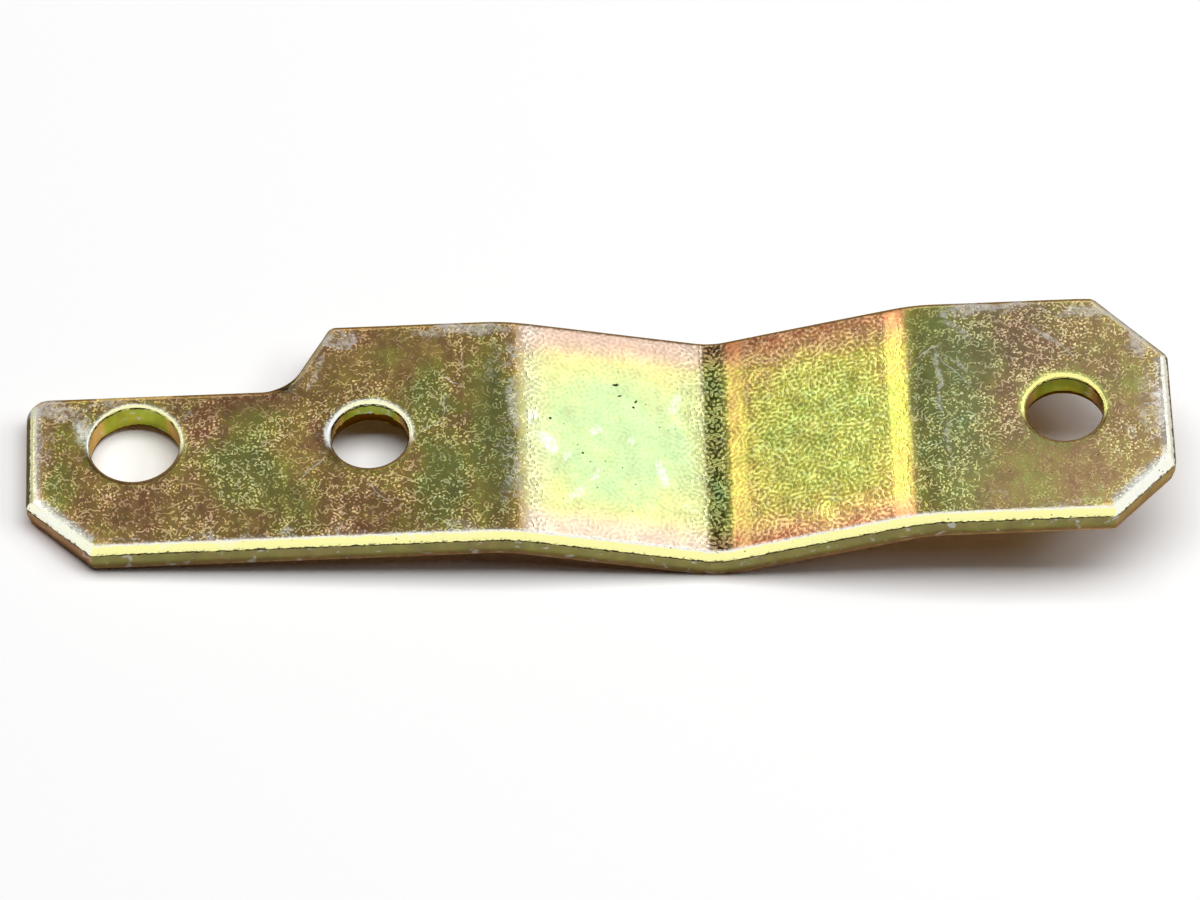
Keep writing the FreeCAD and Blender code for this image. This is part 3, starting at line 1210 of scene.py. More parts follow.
    def find_lips(self) -> dict[str, np.ndarray]:
        """Works out the rolled lips of the outline and of the holes.

        Returns:
            For each name, one value for each point: depth under the lip's foot, place in
            the lip from 1 at its edge to 0 where it ends, how much it takes its painted
            highlight over its painted shade, how white that highlight is, how far the point
            lies in its dark brink of painted shade, and how red the wall below it is.
        """
        strip, blank = self.strip, self.blank
        distances = np.array([strip.side_distance(blank, side) for side in self.LIPS])
        nearest, distance = distances.argmin(axis=0), distances.min(axis=0)
        looks = np.array([astuple(lip) for lip in self.LIPS.values()])
        reach, glare, chalk, brink, rust = looks[nearest].T
        under = strip.thickness - strip.edge_roll - blank[:, 2]
        lip = 1.0 - distance / reach
        brink = brink - distance
        for hole, bore in zip(strip.holes, self.BORES):
            far = strip.hole_distance(blank, hole)
            near = far < hole.radius + 2.5
            facing = ease((blank[:, 1] - hole.y) / far, -0.4, 0.05)
            leftward = ease((blank[:, 0] - hole.x) / far, -0.5, -0.9)
            lit_reach = 0.6 + (bore.reach - 0.6) * facing
            lip = np.where(near, 1.0 - (far - hole.radius) / lit_reach, lip)
            brink = np.where(near, -1.0, brink)
            rust = np.where(near, 0.0, rust)
            glare = np.where(near, facing, glare)
            chalk = np.where(near, bore.chalk * (1.0 + 0.9 * leftward), chalk)
            under = np.where(near, strip.thickness - hole.roll - blank[:, 2], under)
        on_underside = blank[:, 2] < strip.thickness / 2
        lip, brink = np.where(on_underside, -1.0, (lip, brink))
        found = {"under": under, "lip": lip, "glare": glare}
        return found | {"chalk": chalk, "brink": brink, "rust": rust}

    def find_beside(self) -> np.ndarray:
        """How squarely a hole's wall faces left or right, and 0 away from the holes.

        Returns:
            One value for each point.
        """
        squarely = np.zeros(len(self.blank))
        for hole in self.strip.holes:
            far = self.strip.hole_distance(self.blank, hole)
            aside = np.abs(self.blank[:, 0] - hole.x) / far
            squarely += (far < hole.radius + 1.5) * ease(aside, 0.6, 0.85)
        return squarely

    def find_torn(self) -> np.ndarray:
        """How deep each point lies in the torn part of a hole's wall, from 0 to 1.

        Returns:
            One value for each point.
        """
        torn = np.zeros(len(self.blank))
        for hole, bore in zip(self.strip.holes, self.BORES):
            near = self.strip.hole_distance(self.blank, hole) < hole.radius + 1.5
            torn += near * ease(self.blank[:, 2], bore.torn + 0.5, bore.torn - 0.5)
        return torn


class Recipe:
    """Adds and joins the nodes of one material."""

    def __init__(self, tree: bpy.types.NodeTree) -> None:
        """Keeps the node tree.

        Args:
            tree: Node tree that the nodes go into.
        """
        self.tree = tree

    def add(self, kind: str, inputs: dict | None = None, **settings: object) -> bpy.types.Node:
        """Adds one node.

        Args:
            kind: The node's type, without its prefix.
            inputs: For each input's name or number, the socket that feeds it or its value.
            settings: The node's own settings.

        Returns:
            The node.
        """
        node = self.tree.nodes.new("ShaderNode" + kind)
        for name, setting in settings.items():
            setattr(node, name, setting)
        self.feed(node, inputs or {})
        return node

    def feed(self, node: bpy.types.Node, inputs: dict) -> None:
        """Feeds a node's inputs.

        Args:
            node: The node.
            inputs: For each input's name or number, the socket that feeds it or its value.
        """
        for name, given in inputs.items():
            if isinstance(given, Socket):
                self.tree.links.new(given, node.inputs[name])
            else:
                node.inputs[name].default_value = given

    def math(self, operation: str, first: Socket | float, second: Socket | float = 0.0) -> Socket:
        """Does one sum.

        Args:
            operation: The Math node's operation.
            first: First value.
            second: Second value.

        Returns:
            The result.
        """
        return self.add("Math", {0: first, 1: second}, operation=operation).outputs[0]

    def total(self, *values: Socket | float) -> Socket:
        """Adds values up.

        Args:
            values: Two or more values.

        Returns:
            Their total.
        """
        total = values[0]
        for value in values[1:]:
            total = self.math("ADD", total, value)
        return total

    def times(self, *values: Socket | float) -> Socket:
        """Multiplies values.

        Args:
            values: Two or more values.

        Returns:
            Their product.
        """
        product = values[0]
        for value in values[1:]:
            product = self.math("MULTIPLY", product, value)
        return product

    def weigh(self, base: float, *pairs: tuple[Socket, float]) -> Socket:
        """Adds values up by their weights.

        Args:
            base: Value to start from.
            pairs: Each value with its weight.

        Returns:
            Their total.
        """
        return self.total(base, *[self.times(value, weight) for value, weight in pairs])

    def step(
        self, value: Socket, low: float, high: float, start: float = 0.0, end: float = 1.0
    ) -> Socket:
        """Steps smoothly from one value to another.

        Args:
            value: Value that drives the step.
            low: Where the step starts.
            high: Where the step ends, which may be less than low.
            start: Result at low.
            end: Result at high.

        Returns:
            The result.
        """
        if low > high:
            low, high, start, end = high, low, end, start
        inputs = {"Value": value, "From Min": low, "From Max": high}
        inputs |= {"To Min": start, "To Max": end}
        return self.add("MapRange", inputs, interpolation_type="SMOOTHSTEP").outputs["Result"]

    def noise(
        self, vector: Socket, wavelength: float, detail: float = 2.0, distortion: float = 0.0
    ) -> Socket:
        """Makes smooth noise.

        Args:
            vector: Place of the pattern.
            wavelength: Size of its coarsest features, in the place's unit.
            detail: How many finer layers it has.
            distortion: How much it is pulled about.

        Returns:
            Values around one half.
        """
        inputs = {"Vector": vector, "Scale": 1.0 / wavelength}
        inputs |= {"Detail": detail, "Distortion": distortion}
        return self.add("TexNoise", inputs).outputs["Fac"]

    def warp(self, vector: Socket, wavelength: float, reach: float) -> Socket:
        """Moves places about, so that a pattern there is less regular.

        Args:
            vector: Place of a pattern.
            wavelength: Size of the moves' coarsest features.
            reach: How far a place may move.

        Returns:
            The moved place.
        """
        moves = self.add("TexNoise", {"Vector": vector, "Scale": 1.0 / wavelength}).outputs["Color"]
        inputs = {0: moves, 1: (0.5, 0.5, 0.5)}
        centred = self.add("VectorMath", inputs, operation="SUBTRACT").outputs[0]
        inputs = {0: centred, 1: (2 * reach, 2 * reach, 2 * reach), 2: vector}
        return self.add("VectorMath", inputs, operation="MULTIPLY_ADD").outputs[0]

    def stretch(self, vector: Socket, scale: tuple[float, float, float]) -> Socket:
        """Scales a place by a different amount along each direction.

        Args:
            vector: Place of a pattern.
            scale: The three scales.

        Returns:
            The scaled place.
        """
        return self.add("VectorMath", {0: vector, 1: scale}, operation="MULTIPLY").outputs[0]

    def mix(
        self,
        factor: Socket | float,
        first: Socket | Colour,
        second: Socket | Colour,
        blend: str = "MIX",
    ) -> Socket:
        """Mixes two colours.

        Args:
            factor: Share of the second colour.
            first: First colour.
            second: Second colour.
            blend: The Mix node's blend type.

        Returns:
            The mixed colour.
        """
        node = self.add("Mix", {0: factor}, data_type="RGBA", blend_type=blend)
        for number, given in ((6, first), (7, second)):
            self.feed(node, {number: given if isinstance(given, Socket) else (*given, 1.0)})
        return node.outputs[2]

    def dim(self, colour: Socket, factor: Socket) -> Socket:
        """Multiplies a colour by a value.

        Args:
            colour: The colour.
            factor: The value.

        Returns:
            The colour, darker where the value is under 1.
        """
        inputs = {0: colour, "Scale": factor}
        return self.add("VectorMath", inputs, operation="SCALE").outputs[0]

    def ramp(self, value: Socket, stops: list[tuple[float, Colour]]) -> Socket:
        """Turns a value into a colour.

        Args:
            value: The value.
            stops: Places of the colours from 0 to 1, and the colours.

        Returns:
            The colour.
        """
        node = self.add("ValToRGB", {"Fac": value})
        elements = node.color_ramp.elements
        for number, (place, colour) in enumerate(stops):
            element = elements[number] if number < 2 else elements.new(place)
            element.position = place
            element.color = (*colour, 1.0)
        return node.outputs["Color"]

    def attribute(self, name: str, output: str = "Fac") -> Socket:
        """Reads values that the piece carries.

        Args:
            name: Name of the attribute.
            output: Which output of the Attribute node.

        Returns:
            The values.
        """
        return self.add("Attribute", attribute_name=name).outputs[output]


@dataclass(frozen=True)
class Mark:
    """One small mark drawn on the sheet: a long thin oval, in the blank's millimetres.

    Attributes:
        x: Place of its middle along the blank.
        y: Place of its middle across the blank.
        length: Half its length.
        width: Half its width.
        turn: Angle of its length from the blank's, in degrees.
    """

    x: float
    y: float
    length: float
    width: float
    turn: float = 0.0

    def draw(self, recipe: Recipe, sheet: Socket) -> Socket:
        """Draws the mark.

        Args:
            recipe: Recipe that receives its nodes.
            sheet: Place on the flat blank.

        Returns:
            The mask.
        """
        inputs = {
            "Vector": sheet,
            "Location": (self.x, self.y, 0.0),
            "Rotation": (0.0, 0.0, math.radians(self.turn)),
            "Scale": (self.length, self.width, 1000.0),
        }
        placed = recipe.add("Mapping", inputs, vector_type="TEXTURE").outputs[0]
        far = recipe.add("VectorMath", {0: placed}, operation="LENGTH").outputs["Value"]
        return recipe.step(far, 1.0, 0.55)


@dataclass(frozen=True)
class YellowZinc:
    """Yellow passivated zinc plate: an iridescent film over a finely wrinkled metal.

    Sizes are in millimetres on the flat blank, except where an entry says metres.

    Attributes:
        film: Colours of the film, from its thin copper edges to its thick green middle.
        pale: Colour that the film whitens to, as painted highlight and as its own paler tone.
        rubbed: Colour where the film is rubbed down to dull zinc.
        bare: Colour of bare bright zinc.
        soot: Colour of the dark specks and of the painted dark lines at the rolled rims.
        torn: Colour of the torn part of a hole's wall, darkened further by painted shade.
        lip: Painted highlight colour of the rolled lips that face the light.
        shaded_lip: Painted shade colour of the rolled lips that turn from it.
        bore_tint: Tint of the holes' walls.
        grazing: Tint of what the plate mirrors at a grazing angle.
        crease: Where the valley's crease runs, painted dark as shade.
        crease_wander: How far the wrinkles break up its borders.
        curl_size: Size of the pads' curls, which carry painted glints.
        grit_size: Spacing of the fine grit on the pads, whose crests carry painted glints.
        cluster_size: Size of the clusters that the grit and the wrinkles gather in.
        wrinkle_size: Spacing of the wrinkles on the slopes.
        wrinkle_reach: How far one wrinkle wanders.
        wrinkle_height: Height of the wrinkles, in metres.
        grain_size: Size of the fine grain between them.
        patch_size: Size of the broad patches of colour.
        fleck_size: Size of the small patches of colour.
        streak_size: Size of the streaks across the blank.
        streak_scale: How fast they change along, across and through the blank.
        cloud_size: Size of the lighter and darker clouds.
        gloss_size: Size of the more and less polished clouds.
        rub_size: Size of the pieces that a rub mark breaks into.
        bare_size: Size of the pieces that a bare mark breaks into.
        nick_size: Size of the grey nicks on the walls.
        hair_scale: Meshes of the web of hairlines in a millimetre.
        pit_scale: Dark pits in a millimetre.
        block_scale: Blocks of torn wall in a millimetre.
    """

    film: tuple[tuple[float, Colour], ...] = (
        (0.0, (0.56, 0.22, 0.10)),
        (0.2, (0.70, 0.40, 0.16)),
        (0.4, (0.79, 0.55, 0.15)),
        (0.58, (0.76, 0.70, 0.13)),
        (0.78, (0.60, 0.68, 0.13)),
        (1.0, (0.42, 0.70, 0.21)),
    )
    pale: Colour = (0.92, 0.88, 0.76)
    rubbed: Colour = (0.60, 0.62, 0.64)
    bare: Colour = (0.94, 0.95, 0.93)
    soot: Colour = (0.035, 0.028, 0.02)
    torn: Colour = (0.085, 0.032, 0.008)
    lip: Colour = (1.0, 0.97, 0.34)
    shaded_lip: Colour = (0.17, 0.09, 0.035)
    bore_tint: Colour = (1.15, 1.0, 0.6)
    grazing: Colour = (0.62, 0.52, 0.34)
    crease: Band = Band(79.65, 79.9, 81.8, 82.4)
    crease_wander: float = 2.0
    curl_size: float = 0.64
    grit_size: float = 0.44
    cluster_size: float = 1.5
    wrinkle_size: float = 0.62
    wrinkle_reach: float = 1.7
    wrinkle_height: float = 0.00004
    grain_size: float = 0.3
    patch_size: float = 5.0
    fleck_size: float = 0.9
    streak_size: float = 1.1
    streak_scale: tuple[float, float, float] = (1.0, 0.16, 0.3)
    cloud_size: float = 2.6
    gloss_size: float = 4.0
    rub_size: float = 1.1
    bare_size: float = 0.9
    nick_size: float = 1.4
    hair_scale: float = 0.3
    pit_scale: float = 0.7
    block_scale: float = 0.8

    SCRATCHES = (
        Mark(33.0, 10.2, 3.0, 0.09, 48.0),
        Mark(40.5, 7.0, 3.2, 0.1, -50.0),
        Mark(46.3, 15.4, 2.6, 0.1, 35.0),
        Mark(48.8, 19.0, 2.4, 0.1, 70.0),
        Mark(49.3, 22.6, 1.8, 0.12, -20.0),
        Mark(109.5, 20.8, 3.6, 0.11, -48.0),
        Mark(106.5, 23.8, 2.6, 0.1, 38.0),
        Mark(122.5, 23.5, 2.4, 0.1, -55.0),
    )
    SPECKS = (
        Mark(69.0, 23.1, 0.5, 0.22, 0.0),
        Mark(69.5, 21.6, 0.36, 0.12, 30.0),
        Mark(71.4, 21.0, 0.34, 0.14, 60.0),
        Mark(71.1, 20.2, 0.24, 0.2, 0.0),
        Mark(61.0, 17.3, 0.22, 0.22, 0.0),
        Mark(64.8, 12.8, 0.2, 0.16, 0.0),
    )

    def build(self) -> bpy.types.Material:
        """Builds the plate's material.

        Returns:
            The material.
        """
        material = bpy.data.materials.new("yellow_zinc")
        material.use_nodes = True
        ZincLayers(material.node_tree, self).join(material.node_tree.nodes["Principled BSDF"])
        return material


class ZincLayers(Recipe):
    """The layers of the yellow zinc finish, joined as nodes.

    The wrinkles' height and their crests are worked out first, because the colour, the
    gloss and the relief all follow them.
    """

    def __init__(self, tree: bpy.types.NodeTree, look: YellowZinc) -> None:
        """Reads what the layers share, and works out the wrinkles.

        Args:
            tree: The material's node tree.
            look: Colours and sizes of the finish.
        """
        super().__init__(tree)
        self.look = look
        self.sheet = self.attribute("blank", "Vector")
        self.wrinkle = self.attribute("wrinkle")
        self.under = self.attribute("under")
        self.wall = self.step(self.under, -0.03, 0.03)
        self.face = self.step(self.wall, 1.0, 0.0)
        self.slope = self.attribute("slope")
        self.sparkle = self.attribute("sparkle")
        clusters = self.around_zero(look.cluster_size, 2.0)
        self.high = self.total(
            self.worms(),
            self.times(self.slope, 0.18),
            self.times(self.sparkle, 0.04),
            self.times(clusters, self.graded(pads=0.45, slopes=0.4)),
            -0.2,
        )
        worms = self.step(self.high, 0.52, 0.63)
        self.curls = self.times(self.curl_lines(), self.graded(pads=0.72, slopes=0.9))
        crest = self.math("MAXIMUM", worms, self.curls)
        self.crest = self.times(crest, self.wrinkle, self.sparkle)

    def graded(self, pads: float, slopes: float) -> Socket:
        """A value that differs between the pads and the slopes."""
        return self.step(self.slope, 0.0, 1.0, pads, slopes)

    def around_zero(self, size: float, detail: float) -> Socket:
        """Smooth noise over the sheet, with values around zero."""
        return self.total(self.noise(self.sheet, size, detail), -0.5)

    def cells(self, scale: float, output: str, vector: Socket, **settings: object) -> Socket:
        """Divides places into random cells.

        Args:
            scale: Number of cells in a millimetre.
            output: Which output of the Voronoi Texture node.
            vector: Place of the pattern.
            settings: The node's own settings.

        Returns:
            The output.
        """
        inputs = {"Vector": vector, "Scale": scale}
        return self.add("TexVoronoi", inputs, **settings).outputs[output]

    def join(self, shader: bpy.types.Node) -> None:
        """Feeds the finish to the shader.

        Args:
            shader: The material's Principled shader.
        """
        look = self.look
        colour = self.lip_colour(self.face_colour())
        rub = self.broken("rub", look.rub_size)
        bare = self.broken("bare", look.bare_size)
        scratch = self.scratches()
        colour = self.mix(self.times(rub, 0.62), colour, look.rubbed)
        colour = self.mix(self.times(scratch, 0.6), colour, look.rubbed)
        colour = self.mix(self.times(bare, 0.9), colour, look.bare)
        colour = self.wall_colour(colour)
        colour = self.mix(self.soot_mask(), colour, look.soot)
        cloud = self.noise(self.sheet, look.gloss_size, 3.0)
        rough = self.weigh(
            0.06, (cloud, 0.1), (rub, 0.28), (scratch, 0.25), (bare, 0.2), (self.wall, 0.2)
        )
        self.feed(shader, {
            "Base Color": colour,
            "Roughness": rough,
            "Metallic": 1.0,
            "Specular Tint": (*look.grazing, 1.0),
            "Normal": self.relief(),
        })

    def relief(self) -> Socket:
        """Normal of the wrinkled surface.

        Returns:
            The normal.
        """
        raised = self.math("MAXIMUM", self.step(self.high, 0.42, 0.68), self.times(self.curls, 0.7))
        raised = self.times(raised, self.wrinkle, self.sparkle)
        grain = self.times(self.noise(self.sheet, self.look.grain_size, 1.0), self.wrinkle, 0.2)
        height = self.total(raised, grain)
        inputs = {"Height": height, "Strength": 1.0, "Distance": self.look.wrinkle_height}
        return self.add("Bump", inputs).outputs["Normal"]

    def worms(self) -> Socket:
        """Draws fine worm-like wrinkles that run every way over the sheet.

        Returns:
            Their height, around one half.
        """
        look = self.look
        per_mm = self.graded(pads=1.0 / look.grit_size, slopes=1.0 / look.wrinkle_size)
        inputs = {
            "Vector": self.warp(self.sheet, 1.3, 0.34),
            "Scale": 1.0 / look.wrinkle_reach,
            "Frequency": self.times(per_mm, look.wrinkle_reach),
            "Anisotropy": 0.0,
        }
        even = self.add("TexGabor", inputs, gabor_type="2D").outputs["Value"]
        inputs = {"Vector": self.sheet, "Scale": per_mm, "Detail": 1.0}
        broken = self.add("TexNoise", inputs).outputs["Fac"]
        gritty = self.total(self.times(even, 0.72), self.times(broken, 0.66), -0.19)
        smooth = self.total(self.times(even, 0.84), self.times(broken, 0.4), -0.12)
        return self.add("Mix", {0: self.slope, 2: gritty, 3: smooth}).outputs[0]

    def curl_lines(self) -> Socket:
        """Mask of the fine curls that lie thinly over the pads, where glints are painted.

        Returns:
            The mask.
        """
        level = self.noise(self.warp(self.sheet, 0.8, 0.2), self.look.curl_size, 0.0)
        line = self.step(self.math("ABSOLUTE", self.total(level, -0.5)), 0.06, 0.02)
        pieces = self.step(self.noise(self.sheet, 1.0, 1.0), 0.45, 0.56)
        return self.times(line, pieces)

    def face_colour(self) -> Socket:
        """Colour of the wrinkled film, with painted highlights on the crests and painted shade in
        the grooves and the crease.

        Returns:
            The colour.
        """
        # Grooves carry painted shade and crests a painted highlight.
        groove = self.step(self.high, 0.5, 0.38)
        groove = self.times(groove, self.wrinkle, self.graded(pads=0.2, slopes=0.48))
        lift = self.times(self.crest, self.graded(pads=0.95, slopes=0.42))
        light = self.total(1.0, lift, self.times(groove, -1.0))
        colour = self.dim(self.film_colour(), self.times(light, self.crease()))
        # Painted glints on the crests and curls.
        glint = self.total(
            self.times(self.crest, self.graded(pads=0.62, slopes=0.12)),
            self.times(self.curls, self.wrinkle, self.graded(pads=0.0, slopes=0.1)),
        )
        return self.mix(glint, colour, self.look.pale)

    def film_colour(self) -> Socket:
        """Colour of the film from its thickness, which is a little more on the crests.

        Returns:
            The colour.
        """
        look = self.look
        streaks = self.noise(self.stretch(self.sheet, look.streak_scale), look.streak_size, 3.0)
        patches = self.total(
            self.times(self.noise(self.sheet, look.patch_size, 3.0, 0.8), 0.5),
            self.times(self.noise(self.sheet, look.fleck_size, 2.0, 0.6), 0.46),
            self.times(streaks, 0.24),
            -0.6,
        )
        thickness = self.total(
            self.attribute("film"),
            self.times(patches, self.attribute("patchy")),
            self.times(self.crest, 0.08),
        )
        cloud = self.step(self.noise(self.sheet, look.cloud_size, 4.0), 0.3, 0.7, 0.84, 1.1)
        streak = self.step(streaks, 0.3, 0.7, 0.9, 1.06)
        shade = self.times(self.attribute("shade"), cloud, streak)
        colour = self.dim(self.ramp(thickness, list(look.film)), shade)
        # The pale map whitens the film, as painted highlight on the left slope.
        return self.mix(self.attribute("pale"), colour, look.pale)

    def crease(self) -> Socket:
        """Paints shade into the valley bend on the top face, between two broken borders.

        Returns:
            A factor for the colour.
        """
        crease, wander = self.look.crease, self.look.crease_wander
        place = self.add("SeparateXYZ", {0: self.sheet}).outputs
        along = self.total(place["X"], self.times(self.high, 2 * wander), -wander)
        bend = self.times(
            self.step(along, crease.start, crease.full),
            self.step(along, crease.gone, crease.fading),
        )
        inside = self.times(bend, self.face, self.step(place["Z"], 1.0, 2.0))
        return self.total(1.0, self.times(inside, self.step(self.crest, 0.0, 0.8, -0.56, 0.3)))

    def lip_colour(self, colour: Socket) -> Socket:
        """Paints the rolled lips' light and shade: a painted highlight with a white edge where
        they face the light, painted shade where they turn from it, and a dark painted brink.

        Args:
            colour: Colour of the film.

        Returns:
            The colour with the lips.
        """
        look = self.look
        glare, chalk = self.attribute("glare"), self.attribute("chalk")
        fibres = self.around_zero(0.5, 3.0)
        lip = self.total(self.attribute("lip"), self.times(fibres, 0.7))
        mask = self.times(self.step(lip, -0.02, 0.16), self.face)
        chalky = self.step(chalk, 0.02, 0.1)
        # A white fringe of painted highlight just inside the lit lips.
        fringe = self.times(self.step(lip, -0.4, 0.0), self.face, glare, chalky, 0.4)
        edge = self.times(self.step(lip, 0.42, 0.16, 0.0, 0.85), chalky)
        # Lit lips take a painted highlight, turned ones a painted shade.
        shown = self.mix(self.math("MAXIMUM", chalk, edge), look.lip, look.bare)
        shown = self.mix(glare, look.shaded_lip, shown)
        colour = self.mix(fringe, colour, look.bare)
        mask = self.times(mask, self.step(glare, 0.0, 1.0, 0.88, 1.0))
        colour = self.mix(mask, colour, shown)
        # The dark brink on the lips' outer edge is painted shade.
        brink = self.total(self.attribute("brink"), self.times(fibres, 0.5))
        dark = self.times(self.step(brink, -0.04, 0.1), self.face, 0.92)
        return self.mix(dark, colour, look.soot)

    def wall_colour(self, colour: Socket) -> Socket:
        """Tints the holes' walls, and gives all walls their nicks and torn places.

        Args:
            colour: Colour of the worn film.

        Returns:
            The colour with the walls.
        """
        look = self.look
        bored = self.step(self.attribute("bore"), 1.0, 0.5)
        colour = self.mix(self.times(self.wall, bored), colour, look.bore_tint, "MULTIPLY")
        nicks = self.step(self.noise(self.sheet, look.nick_size, 4.0, 0.6), 0.6, 0.68)
        colour = self.mix(self.times(nicks, self.wall, 0.5), colour, look.rubbed)
        return self.mix(self.torn_mask(), colour, look.torn)

    def torn_mask(self) -> Socket:
        """Mask of the torn part of the holes' walls, with a stepped upper edge.

        Returns:
            The mask.
        """
        tall = self.stretch(self.sheet, (1.0, 1.0, 0.3))
        blocks = self.cells(self.look.block_scale, "Color", tall)
        fine = self.noise(self.sheet, 0.5, 3.0)
        ragged = self.total(self.attribute("torn"), self.times(blocks, 0.5), self.times(fine, 0.5))
        return self.step(ragged, 0.96, 1.04)

    def broken(self, name: str, size: float) -> Socket:
        """Mask of worn places, broken up by fine streaky noise.

        Args:
            name: Attribute that says where the sheet is worn.
            size: Size of the broken pieces, in millimetres.

        Returns:
            The mask.
        """
        pieces = self.noise(self.sheet, size, 4.0, 1.6)
        return self.step(self.total(self.attribute(name), pieces), 0.82, 1.26)

    def draw_marks(self, mask: Socket, marks: tuple[Mark, ...], place: Socket) -> Socket:
        """Draws marks over a mask.

        Args:
            mask: The mask.
            marks: The marks.
            place: Place on the blank where they are drawn.

        Returns:
            The mask with the marks.
        """
        for mark in marks:
            mask = self.math("MAXIMUM", mask, mark.draw(self, place))
        return mask

    def scratches(self) -> Socket:
        """Mask of the drawn scratches and of a web of fine curled hairlines.

        Returns:
            The mask.
        """
        curled = self.warp(self.warp(self.sheet, 4.0, 2.2), 1.0, 0.3)
        kind = {"feature": "DISTANCE_TO_EDGE", "voronoi_dimensions": "2D"}
        hairs = self.cells(self.look.hair_scale, "Distance", curled, **kind)
        hairs = self.step(hairs, 0.018, 0.004)
        where = self.step(self.noise(self.sheet, 5.5, 2.0, 1.0), 0.52, 0.62)
        mask = self.times(hairs, where, self.wrinkle, 0.5)
        return self.draw_marks(mask, self.look.SCRATCHES, self.warp(self.sheet, 2.5, 0.9))

    def soot_mask(self) -> Socket:
        """Mask of the dark specks, and of a painted dark reflection along the line where the rim's
        roll ends.

        Returns:
            The mask.
        """
        wander = self.times(self.around_zero(0.7, 4.0), 0.7)
        # The dark line where the rim's roll meets the wall is a painted dark reflection.
        line = self.step(self.math("ABSOLUTE", self.total(self.under, wander, -0.06)), 0.16, 0.08)
        torn = self.times(line, self.step(self.noise(self.sheet, 1.6, 3.0), 0.34, 0.44))
        pits = self.step(self.cells(self.look.pit_scale, "Distance", self.sheet), 0.085, 0.045)
        mask = self.math("MAXIMUM", torn, self.times(pits, 0.85))
        return self.draw_marks(mask, self.look.SPECKS, self.warp(self.sheet, 0.5, 0.2))


@dataclass(frozen=True)
class Panel:
    """One soft light panel, hung level over the table and facing down.

    Attributes:
        name: What it is called.
        x: Span from left to right, in metres.
        y: Span from front to back, in metres.
        height: Height over the table, in metres.
        glow: Radiance of its face, where 1 shows as white.
    """

    name: str
    x: tuple[float, float]
    y: tuple[float, float]
    height: float
    glow: float


